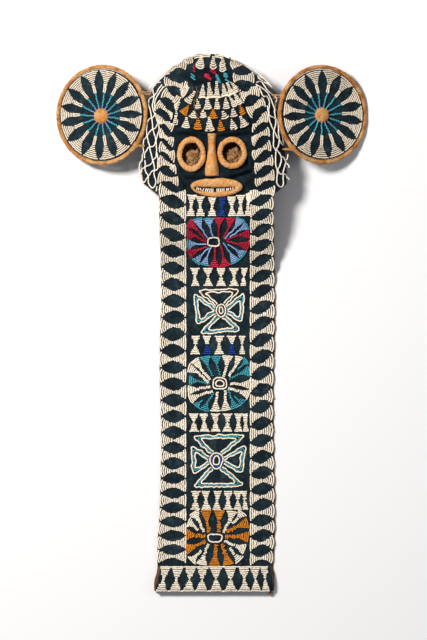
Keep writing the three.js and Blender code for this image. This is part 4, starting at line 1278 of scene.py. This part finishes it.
# Patches of the hood's borders from the crown down, each by its cross lines from the outer to the inner end.
# A line goes from the upper edge to the lower edge: x, y, x, y in pixels of the picture
hoodPatches = [
    # left
    [(183.3, 60.2, 184.6, 61.6), (187.3, 60.4, 188, 65.4), (192, 58.4, 193.6, 64.8)],
    [(166.2, 71.6, 167.6, 76.7), (171, 67.9, 172.3, 72.2), (177, 66.4, 177, 69.3), (182, 63.8, 181.6, 69.4),
     (186.4, 61.8, 186, 72)],
    [(164.8, 77.6, 166.2, 87.8), (170.4, 80.4, 170.6, 87.6), (176.3, 84.2, 175.5, 87),
     (181, 84.8, 180.2, 90.2), (187, 82.8, 181, 95.4), (189.6, 89.4, 182.8, 99.6)],
    [(166.8, 88.8, 161.2, 99), (169, 92.4, 166.3, 98), (173.3, 98, 171.6, 100.8),
     (178.5, 96.4, 173.4, 103.4), (181.6, 99.6, 175.6, 106)],
    [(160.2, 100.8, 154.6, 111), (163.6, 104.6, 161, 109), (168, 110.4, 166.6, 112.6),
     (170.8, 112, 170.1, 117), (173, 114, 171.6, 121.4)],
    [(181, 103, 175, 106.4), (178.8, 109, 175, 110.4), (178, 114, 176.2, 114), (178, 117.4, 174.6, 117.2)],
    [(155.6, 113, 158.8, 124.6), (161.6, 117.6, 162, 125.2), (166.6, 122.6, 166, 125.2),
     (170, 122.6, 167.6, 127), (174.3, 125.2, 171.9, 133.4)],
    [(161.4, 127.8, 160.2, 138.6), (165.2, 133.6, 164.2, 139.4), (168.4, 137.9, 166.8, 141.2),
     (171.2, 137.4, 169.6, 145), (174.2, 138, 173.3, 148.4)],
    [(161.6, 141.8, 159.4, 153), (165.6, 146, 164.8, 152.8), (169.4, 152.2, 168.3, 154.9),
     (171.8, 151.8, 171, 160), (174.8, 150.8, 174.7, 164)],
    [(160.4, 155.6, 159.4, 168), (165, 159.4, 164.6, 165.8), (169.6, 163.3, 168.4, 166),
     (173, 165.6, 172.6, 171.2), (175, 165.2, 177, 175)],
    [(160.4, 171.4, 157.6, 184), (165, 175.6, 164.4, 181.8), (170, 177.9, 169.8, 180.9),
     (174.4, 177.6, 174.4, 184.2), (177.9, 176.8, 178.6, 187)],
    # right
    [(253.2, 70.4, 252.4, 71.8), (248, 65.4, 247.2, 67.6), (242, 63.2, 242, 66), (236, 62.6, 236.6, 68.6),
     (229.8, 62.4, 232.6, 70.8)],
    [(252.2, 73.2, 253.8, 84.8), (247.6, 76, 248, 82.6), (241, 77.6, 241, 81.2), (237, 76, 237, 82.8),
     (233, 73.8, 234, 84.4)],
    [(256.2, 87, 259.4, 98), (251.4, 88, 252.6, 96), (246.6, 93, 247.2, 96.6), (242.4, 93, 244.8, 100.6),
     (238, 94.6, 243, 105.4)],
    [(262, 98.8, 265.2, 107.8), (257.6, 101.4, 260, 107.4), (253.4, 106.8, 254.8, 110.4),
     (248.8, 107.8, 252.4, 114.6), (244.6, 107.8, 252, 120.6)],
    [(266, 111.5, 267.1, 123.4), (261, 115.6, 263, 122.8), (258, 121.5, 259.8, 124.4),
     (254.6, 124.6, 256.2, 127.4), (253.2, 125.4, 251.4, 134.4)],
    [(267.4, 126.8, 269.2, 137.6), (264, 130.8, 264.6, 136.4), (260.4, 133, 261.2, 136.4),
     (255.8, 135.2, 257.8, 140), (251.4, 138, 253.4, 148)],
    [(268.8, 140.8, 270.6, 151.8), (264.6, 145, 265.6, 150.8), (261, 148.6, 262.2, 151.4),
     (256.4, 150.4, 258.2, 156.6), (251.6, 151.2, 253.8, 161.6)],
    [(271.8, 155.4, 272.4, 166.6), (267.6, 158.8, 268.4, 165.4), (263.2, 162.4, 263.8, 166),
     (258.8, 163.6, 260, 169.6), (254.8, 163.6, 255, 174.6)],
    [(273, 169, 273.8, 181.4), (268.4, 174.2, 269, 180.2), (263.5, 177.5, 264.3, 181.4),
     (259, 178.8, 260.2, 185), (254.6, 179.2, 256, 187.6)],
]
crown = dict(
    triangles=[((201.5, 56.5), (200, 68.3), 4.9), ((213.4, 57.2), (213.2, 68.6), 3.8),
               ((222.3, 59.5), (222.7, 71), 4.1)],
    strings=[[(191.8, 58.8), (195, 57.2), (200.3, 56.4), (204.6, 56), (210.8, 56.1)],
             [(194.4, 59.6), (200.7, 58.2), (206, 57.7), (210, 58)],
             [(214.6, 56.2), (218, 56.3), (223.6, 57.8)], [(215, 58.1), (218.6, 58.4), (222.8, 59.8)],
             [(228, 58.6), (231.4, 59.7), (234.2, 61), (237.6, 62.3)],
             [(183.6, 61.2), (186, 59.6), (189.4, 58.5)]],
    shreds=[((194.2, 66), (194.4, 73), 1.8, "red"), ((207.3, 75), (208, 81), 4.6, "red"),
            ((213.2, 69.6), (213.6, 74), 4, "red"), ((192.6, 75.4), (193, 81.6), 2.6, "teal"),
            ((217, 76), (219, 84.6), 2.9, "teal"), ((226, 74.2), (225.4, 79.6), 3.9, "teal"),
            ((227.3, 81.2), (228, 84.2), 2.8, "teal")],
)


def within(line):
    # keeps places inside the hood's outline
    left, right = hoodCurve["left"](line[:, 1]), hoodCurve["right"](line[:, 1])
    middle, half = (left + right) / 2, (right - left) / 2
    return np.stack([middle + np.clip((line[:, 0] - middle) / half, -0.985, 0.985) * half, line[:, 1]], 1)


def hoodBeads():
    beads = beadwork("hoodBeads", lambda line: onHead(within(line)), 91)
    for ribs in hoodPatches:
        beads.patch(spot(np.reshape(ribs, (-1, 2, 2))), "shadedCream")
    for tip, base, half in crown["triangles"]:
        triangle(beads, tip, base, half, "shadedCream", 4.0)
    for line in crown["strings"]:
        beads.string(softened(spot(line)), "shadedCream", sway=0.3)
    for start, end, half, ink in crown["shreds"]:
        slant = (1, beads.dice.uniform(-0.9, -0.3))

        def width(t, half=half):
            return half * pixel * beads.dice.uniform(0.5, 1.1)

        beads.fan(spot(start), spot(end), slant, width, straight, ink)
    beads.make()


# Nets of bead strings over the hood's sides: each string as it runs, in pixels of the picture
nets = [
    dict(name="Left", node="net_left", seed=96, strings=[
        [(164.3, 74.8), (161, 77.5), (158, 80.5), (155.5, 84), (154, 86.3), (153.6, 89), (154.3, 93),
         (155, 97), (155, 100), (153.6, 104), (153.5, 108), (154.6, 112), (156, 115), (154.5, 117.6),
         (152.3, 118.8), (150, 120), (148.9, 121.8), (148.2, 125), (147.7, 129), (147.6, 133), (148.1, 137),
         (149.2, 141), (150, 145), (150.5, 148), (151.4, 152), (152.6, 157), (153.2, 160), (154.5, 163.5),
         (155, 168), (155.2, 171.5), (154.5, 174), (155.3, 177.5), (156.5, 181), (156.3, 184), (155, 187),
         (153, 188.3), (151.5, 187.3), (149.8, 185), (148.8, 182), (149.3, 179), (149.3, 176.6),
         (147.6, 174), (146.2, 171), (146, 168), (146.1, 164), (146, 160.4)],
        [(163, 86), (160, 89.5), (158, 93), (156, 96), (154.2, 97.3), (152, 98.5), (149.9, 100.3),
         (149.3, 104), (150.2, 107), (151.5, 111), (152.2, 115), (152.6, 119), (153.4, 122), (153.5, 126),
         (153.8, 130), (154.7, 133), (156, 137), (156.6, 141), (157, 145), (157.3, 149), (157, 153),
         (157, 156), (156.6, 158), (155, 159.6), (153.6, 160.6), (153, 162.5), (151.5, 165), (149, 166),
         (146.5, 166.7), (144, 168.5), (141.8, 171.5), (140.9, 174), (139.9, 176.4), (139.6, 178)],
        [(165.4, 87.8), (162.4, 90), (160.2, 93.5), (158.2, 97.2), (156.4, 100.5), (155.6, 104),
         (155.4, 108), (156.4, 112)],
        [(160.3, 123), (158.5, 124.5), (157.3, 127), (156, 129.5), (153.8, 130), (151.3, 131.5),
         (149.6, 134.3), (148, 137), (146.5, 138.8), (144.2, 140.2), (143.6, 142.5), (143.8, 146),
         (144.5, 150), (145.3, 152.8), (143.6, 154.6), (142.9, 157.5), (142.2, 161), (140.7, 164),
         (140.3, 168), (140.9, 172), (141.6, 176), (142.6, 180), (144.4, 182.8), (146, 181.8),
         (147.6, 178.8), (149.3, 176.4), (150.8, 174), (152.5, 171.6), (154.6, 171), (157, 170.5),
         (158.5, 169), (158.3, 165), (158.7, 161), (158.2, 156), (157.2, 153)],
        [(159.5, 125), (160, 129), (159.8, 132), (158.3, 134.5), (157.8, 138), (156.8, 141), (155.8, 143.5),
         (155.6, 146), (153.5, 147.4), (150.6, 147.5), (148.9, 148.3), (148, 151), (146, 153), (145.5, 155),
         (145.8, 158.7)],
        [(149.4, 89.8), (151.2, 88.3), (153.8, 86), (156, 84.4), (159, 83.6), (161.4, 83.8)],
        [(157.6, 186.4), (157.2, 189), (156.8, 191.6)]]),
    dict(name="Right", node="net_right", seed=97, strings=[
        [(253.4, 71.4), (255.8, 73.2), (259, 75), (262, 77.4), (264, 80), (267, 83), (270, 86),
         (271.2, 88.2)],
        [(263.3, 79.7), (260, 77.7), (257.4, 76.8), (257.4, 79), (260, 81.3), (263, 82.6), (266, 84.3),
         (269, 86.2)],
        [(255.8, 84), (258, 83), (261, 83), (262.5, 85.5), (264.5, 88.5), (266.5, 91.5), (269.5, 94.2),
         (272.5, 96.3), (275, 98.2), (275.8, 100), (275, 103), (274, 106), (273.6, 109.5), (273.5, 113),
         (274.3, 117), (275, 120), (274.8, 124), (274.2, 128), (273, 131.5), (272.6, 135), (272.9, 139),
         (272.8, 143), (272.3, 146), (273.5, 148.5), (275.2, 150.3), (274.9, 154), (274.7, 158), (275, 162),
         (275, 166), (276, 169), (276.8, 172), (276.5, 176), (276.1, 180), (276.4, 183), (277.6, 186),
         (279.8, 187.5), (281.7, 186.7), (282.7, 184), (282.4, 180), (282.4, 176), (282, 174), (282.8, 170),
         (284, 166), (284.7, 163), (286, 160), (286.7, 157), (287, 154.6)],
        [(255.2, 85.5), (257.5, 87.5), (260, 88.3), (263, 90.5), (266, 93), (268, 96), (269.3, 99),
         (270.8, 102), (271.8, 105), (273, 108.5), (275.2, 110.5), (276.6, 112.5), (277.2, 116),
         (277.3, 119.5), (277.2, 123), (277.9, 127), (279, 130.5), (279.8, 133), (281.2, 136), (282.6, 140),
         (283.2, 143.5), (282.3, 145.5), (280.8, 145), (279.6, 142.5), (278.4, 139.7), (276, 138),
         (274.8, 134.5), (273, 131.3), (271.5, 129), (270.3, 125.5), (269, 122), (268, 118.5), (267.8, 114),
         (268.2, 109), (268.6, 104), (268, 100.5), (266.5, 98), (264.5, 97), (262.8, 98)],
        [(258.6, 89), (259.8, 92), (261.2, 95), (262.4, 97.5)],
        [(266.5, 106.6), (267.2, 111), (267.8, 115), (269.5, 116.8), (272, 118.3), (275, 119.3),
         (276.2, 121.5), (277, 125), (277.6, 129), (277.4, 133), (278, 137), (278.3, 141), (278, 145),
         (276.8, 148.5), (275.3, 150.2), (277, 151.5), (279, 154), (280.3, 157), (280.5, 160), (280, 164),
         (278.6, 167.5), (276.8, 169.3), (277.8, 172), (278.8, 174.3), (281, 174.5), (283.5, 174.2),
         (285.3, 175.5), (287, 178), (288.3, 180.3)],
        [(281, 157), (282.5, 157.5), (283.8, 160), (285, 162.8), (286.5, 164.5), (288.4, 166),
         (287.6, 168.2)]]),
]


netForm = dict(lift=1.9, free=2.5, past=6, size=0.84)


def netBeads(net):
    # strings lie on the hood, and a loose end may hang a little past its side
    onHood = onTop(hoodFront, netForm["lift"])

    def surface(line):
        places, normals = onHood(within(line))
        past = line[:, 0] - places[:, 0] + normals[:, 0] * netForm["lift"]
        move = np.clip(past, -netForm["past"], netForm["past"])
        places[:, 0] += np.where(np.abs(past) > netForm["free"], move, 0)
        return places, normals

    beads = beadwork("netBeads" + net["name"], surface, net["seed"])
    for line in net["strings"]:
        beads.string(softened(spot(line)), "white", sway=0.15, size=netForm["size"])
    beads.make(replaces=[net["node"]])


# Ears

ears = [
    dict(name="Left", node="left", side=-1, x=-203, y=389.8, radius=93.8, tilt=24, boss=(0.4, -2, 14.4),
         tips=[0, 22, 47, 69, 93, 119, 144, 168, 190, 215, 242, 267, 291, 316, 339]),
    dict(name="Right", node="right", side=1, x=205.4, y=390.7, radius=92.5, tilt=25.5, boss=(-3.2, -1, 14),
         tips=[14, 40, 64, 92, 117, 140, 163, 184, 207, 228, 253, 279, 303, 327, 351]),
]
earForm = dict(rim=4.5, tube=3.85, disc=4, gap=0.3, row=3.6, knee=0.67, wedgeHalf=3.0, between=0.6,
               bossRise=7.5)


def earPlace(ear, local):
    # from the ear's own flat frame to the mask
    local = np.asarray(local, float)
    lean = math.radians(ear["tilt"]) * ear["side"]
    middle = (ear["radius"] - earForm["rim"]) * math.sin(math.radians(ear["tilt"])) + earForm["rim"]
    u, v, w = local[..., 0], local[..., 1], local[..., 2]
    return np.stack([ear["x"] + u * math.cos(lean) + w * math.sin(lean), ear["y"] + v,
                     middle - u * math.sin(lean) + w * math.cos(lean)], -1)


def earDisc(ear, reach, seed):
    # over its upper face, round the edge and back under it
    turn = circle(120)
    profile = [(share, 1) for share in np.linspace(0.02, 0.99, 22)] + [(1, 0.7), (1, -0.7)]
    profile += [(share, -1) for share in np.linspace(0.99, 0.02, 12)]
    rings = []
    for share, face in profile:
        flat = onFloor(np.cos(turn) * reach * share, np.sin(turn) * reach * share)
        uneven = 0.35 * ripple(flat, 24, seed) + 0.2 * ripple(flat, 9, seed + 1)
        flat[:, 2] = face * earForm["disc"] / 2 + uneven * (abs(face) == 1)
        rings.append(earPlace(ear, flat))
    shell("earDisc" + ear["name"], rings, indigo, "ear_" + ear["node"])


def earRim(ear, rim, seed):
    rings, out = [], circle(16)
    for angle in circle(300):
        fat = earForm["tube"] * (1 + 0.03 * math.sin(angle * 9 + seed) + 0.04 * math.sin(angle * 23 + seed))
        fat = fat * (1 + 0.025 * np.sin(angle * 61 + out * 2))
        radius = rim + fat * np.cos(out)
        local = [radius * math.cos(angle), radius * math.sin(angle), fat * np.sin(out)]
        rings.append(earPlace(ear, np.stack(local, -1)))
    tube = shell("earRim" + ear["name"], rings, rimTan, "ear_rim_" + ear["node"], looped=True)
    rumple(tube, (16, 0.3, seed + 2), (6, 0.2, seed + 3))


def earBoss(ear, seed):
    rings, turn, (x, y, size) = [], circle(120), ear["boss"]
    for tilt in np.r_[np.linspace(0.03, math.pi / 2, 16), [math.pi / 2 + 0.1]]:
        edge = size * math.sin(min(tilt, math.pi / 2)) ** 0.55 * (1 + 0.03 * np.sin(7 * turn + seed))
        rise = earForm["bossRise"] * max(0.0, math.cos(min(tilt, math.pi / 2))) ** 0.75
        high = earForm["disc"] / 2 + 0.3 + rise
        high = high if tilt <= math.pi / 2 else earForm["disc"] / 2 + 0.1
        local = [x + edge * np.cos(turn), y + edge * np.sin(turn), np.full_like(turn, high)]
        rings.append(earPlace(ear, np.stack(local, -1)))
    boss = shell("earBoss" + ear["name"], rings, bossTan, "ear_boss_" + ear["node"])
    rumple(boss, (8, 0.35, seed + 4), (3.5, 0.2, seed + 5))


def earBeads(ear, reach, seed):
    lift = earForm["disc"] / 2 + beadForm["lift"]
    lean = math.radians(ear["tilt"]) * ear["side"]
    up = np.array([math.sin(lean), 0, math.cos(lean)])

    def surface(line):
        line = np.asarray(line, float)
        places = earPlace(ear, np.c_[line, np.full(len(line), lift)])
        return places, np.tile(up, (len(line), 1))

    beads = beadwork("earBeads" + ear["name"], surface, seed)
    tips = np.radians(ear["tips"])
    bossX, bossY, bossSize = ear["boss"]
    for k, tip in enumerate(tips):
        gap = (np.roll(tips, -1)[k] - tip) % (2 * math.pi)
        angle = tip + gap / 2
        way = wayAt(angle)
        normal = np.array([-way[1], way[0]])
        foot = np.array([bossX, bossY]) + way * (bossSize - 1)
        neck, knee = way * reach * beads.dice.uniform(0.46, 0.52), way * reach * (earForm["knee"] + 0.01)
        turnAt = foot + (neck - foot) * beads.dice.uniform(0.22, 0.36)
        inkHere = "teal" if ear["side"] > 0 and k % 4 == 1 else "lilac"
        beads.string(softened([foot, turnAt], times=1), inkHere, sway=0.4)
        beads.string([turnAt, neck], "teal", sway=0.3, stagger=0.5)
        for shift in (-1.6, 1.6):
            beads.string([neck + normal * shift, knee + normal * (shift + 0.3)], "shadedCream", size=0.94)
        wedge, narrow = 1 - earForm["knee"], earForm["wedgeHalf"]
        count, swell = round(reach * wedge / earForm["row"]), beads.dice.uniform(1.35, 1.8)
        for i in range(count):
            radius = reach * (earForm["knee"] + wedge * (i + 0.5) / count)
            share = (i + 0.5) / count
            half = narrow + (radius * gap / 2 - earForm["between"] - narrow) * share ** swell
            number = beadsFor(2 * half, beads.dice.uniform(-0.3, 0.3))
            sweep = number * beadForm["length"] / 2 / radius
            bend = np.linspace(angle - sweep, angle + sweep, 7)
            flatter = 1 - 0.02 * (1 - share)
            beads.string(np.c_[np.cos(bend), np.sin(bend)] * radius * flatter, "shadedCream", size=0.9)
    beads.make()


def makeEar(ear, seed):
    rim = ear["radius"] - earForm["rim"]
    reach = rim - earForm["rim"] - earForm["gap"]
    earDisc(ear, reach, seed)
    earRim(ear, rim, seed)
    earBoss(ear, seed)
    earBeads(ear, reach - 1.2, seed + 6)


def strand(points, thick, sides=6):
    # a thin tube along points, closed at both ends
    line = softened(points)
    ahead = np.gradient(line, axis=0)
    side = unit(np.cross(ahead, [0.3, 0.2, 1.0]))
    up = unit(np.cross(side, ahead))
    return loft(line[:, None] + thick / 2 * spokesOf(sides, side, up))


stitches = [dict(ear=0, angle=25), dict(ear=0, angle=321.5), dict(ear=1, angle=159.5), dict(ear=1, angle=225)]
stitchForm = dict(coils=4, ties=3, coil=0.7, thick=1.2, tiedAt=72.0)


def makeStitches():
    # twine wound round the ears' rims and tied to the hood
    parts = []
    dice = np.random.default_rng(111)
    for stitch in stitches:
        ear = ears[stitch["ear"]]
        rim, coil = ear["radius"] - earForm["rim"], earForm["rim"] + stitchForm["coil"]
        for k in range(stitchForm["coils"]):
            angle = math.radians(stitch["angle"] + (k - 1.5) * 1.3)
            turn = np.linspace(0, 2 * math.pi, 13) + k
            radius = rim + coil * np.cos(turn)
            lean = angle + 0.006 * np.sin(turn)
            local = [radius * np.cos(lean), radius * np.sin(lean), coil * np.sin(turn)]
            parts.append(strand(earPlace(ear, np.stack(local, -1)), stitchForm["thick"]))
        for k in range(stitchForm["ties"]):
            angle = math.radians(stitch["angle"] + (k - 1) * 1.6)
            start = earPlace(ear, np.array([(rim + 4) * math.cos(angle), (rim + 4) * math.sin(angle), 2.5]))
            y = start[1] + dice.uniform(-2, 2)
            edge = hoodCurve["left" if ear["side"] < 0 else "right"](y)
            end = np.array([edge - ear["side"] * 3, y, stitchForm["tiedAt"]])
            middle = (start + end) / 2 + [0, 0, -1.5]
            parts.append(strand(np.array([start, middle, end]), stitchForm["thick"]))
    points, faces = joined(parts)
    makePiece("earStitches", points, faces, [tan])


knob = dict(x=110.5, y=-498.2, radius=4.1)


def makeKnob():
    rings = []
    for tilt in np.linspace(0.05, math.pi - 0.05, 18):
        ball = ballRing(tilt, 26)
        groove = 1 - 0.06 * np.cos(ball[:, 0] * 9 + ball[:, 1] * 5)
        middle = np.array([knob["x"], knob["y"], knob["radius"]])
        rings.append(middle + ball * (knob["radius"] - 0.25) * groove[:, None])
    shell("hemKnot", rings, raffia, "hem_knob")


threadForm = dict(crease=16, edge=14, hem=9, thin=0.7, thick=0.8, sides=5)


def makeThreads():
    # loose raffia ends at the forehead's crease, the panel's right edge and the hem
    form, parts = threadForm, []
    dice = np.random.default_rng(121)
    for _ in range(form["crease"]):
        x, y = -31 + dice.normal(0, 2.5), dice.uniform(392, 440)
        run = [np.array([x, y, 0.0])]
        for _ in range(4):
            run.append(run[-1] + [dice.normal(0.2, 1.6), dice.uniform(-4, -1), 0])
        run = np.array(run)
        run[:, 2] = browTop(run[:, 0], run[:, 1]) + 0.6 + dice.uniform(0, 2.2, len(run))
        parts.append(strand(run, form["thin"], form["sides"]))
    for _ in range(form["edge"]):
        y = dice.uniform(-60, 150)
        x = panelRight(y) + 1.2
        z = panelTop(x, y) - 1.5
        run = [[x - 2, y, z], [x + 0.6, y + dice.normal(0, 2), z + 0.5]]
        run.append([x + dice.uniform(0.5, 2.2), y + dice.normal(0, 4), z + dice.uniform(0, 1.5)])
        parts.append(strand(np.array(run), form["thin"], form["sides"]))
    for a, b in zip(hood["hemLeft"], hood["hemLeft"][1:]):
        for share in np.linspace(0.05, 0.95, form["hem"]):
            x, y = a[0] + (b[0] - a[0]) * share, a[1] + (b[1] - a[1]) * share
            z = float(hoodFront(np.array(x + 3), np.array(y))) - 2.5
            run = [[x + 2.5, y + 2, z], [x + 0.5, y, z]]
            run.append([x - dice.uniform(0, 2), y - dice.uniform(1, 4), z - 1])
            parts.append(strand(np.array(run), form["thick"], form["sides"]))
    points, faces = joined(parts)
    makePiece("looseThreads", points, faces, [raffia])


# Room: camera straight above, as far off as a long lens needs, with soft lamps

room = dict(
    distance=10.0, aim=0.05, floor=(0.8, 0.8, 0.81, 1), floorHalf=6, floorHigh=-0.0004,
    air=(0.9, 0.93, 1.0, 1), airPower=0.15, lit=(0, 0.05, 0.03),
    lamps=[
        dict(name="keyLamp", place=(-1.6, 1.35, 3.2), size=0.8, power=184, colour=(1.0, 0.97, 0.93)),
        dict(name="fillLamp", place=(1.8, 0.4, 2.2), size=1.6, power=9, colour=(0.95, 0.97, 1.0)),
        dict(name="footLamp", place=(-0.6, -1.8, 2.4), size=1.6, power=8, colour=(1.0, 0.98, 0.96)),
    ],
)


def makeRoom():
    scene = bpy.context.scene
    camera = bpy.data.objects.new("camera", bpy.data.cameras.new("camera"))
    scene.collection.objects.link(camera)
    x = (picture["width"] / 2 - picture["middleX"]) * pixel * metre
    y = (picture["middleY"] - picture["height"] / 2) * pixel * metre
    camera.location = (x, y, room["aim"] + room["distance"])
    camera.data.lens = camera.data.sensor_width * room["distance"] / (picture["height"] * pixel * metre)
    scene.camera = camera
    mesh = bpy.data.meshes.new("floor")
    half, z = room["floorHalf"], room["floorHigh"]
    corners = [(-half, -half, z), (half, -half, z), (half, half, z), (-half, half, z)]
    mesh.from_pydata(corners, [], [(0, 1, 2, 3)])
    floor = bpy.data.objects.new("floor", mesh)
    scene.collection.objects.link(floor)
    mesh.materials.append(paint("paleFloor", Base_Color=room["floor"], Roughness=0.9).material)
    for lamp in room["lamps"]:
        light = bpy.data.lights.new(lamp["name"], "AREA")
        light.shape, light.size = "DISK", lamp["size"]
        light.energy, light.color = lamp["power"], lamp["colour"]
        made = bpy.data.objects.new(lamp["name"], light)
        made.location = lamp["place"]
        x, y, z = np.array(room["lit"]) - lamp["place"]
        made.rotation_euler = (math.atan2(math.hypot(x, y), -z), 0, math.atan2(-x, y))
        scene.collection.objects.link(made)
    world = bpy.data.worlds.new("air")
    scene.world = world
    world.use_nodes = True
    air = world.node_tree.nodes["Background"]
    air.inputs["Color"].default_value, air.inputs["Strength"].default_value = room["air"], room["airPower"]
    scene.view_settings.view_transform = "Standard"


makeRoom()
say("camera, floor and lamps")
hoodCloth = bag("hoodCloth", 0.0, hood["cloth"], indigo, "hood",
                [(40, 0.8, 5), (15, 0.35, 6)], (220, 122, 22))
liningTop = hood["cloth"] + hood["gap"]
lining = bag("hoodLining", liningTop, liningTop + hood["lining"], raffia, "hood_lining",
             [(40, 0.8, 5)], (176, 92, 18))
say("hood and lining")
trunkCloth, backing = makePanel(), makeBacking()
makeFoot()
say("panel, backing and foot")
for number, line in enumerate(borders):
    borderBeads(line, 11 + number)
bandBeads()
wheelBeads()
crossBeads()
say("panel beads")
for number, eye in enumerate(eyes):
    eyeRing(eye, 51 + 5 * number)
    crumple(eye, 55 + 5 * number)
makeNose()
makeMouth()
browLayer = makeBrow()
hoodBeads()
say("face, forehead and hood beads")
for net in nets:
    netBeads(net)
for number, ear in enumerate(ears):
    makeEar(ear, 101 + 10 * number)
makeStitches()
makeKnob()
makeThreads()
say("nets, ears, ties and threads")

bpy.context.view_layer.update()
say("sizes written")
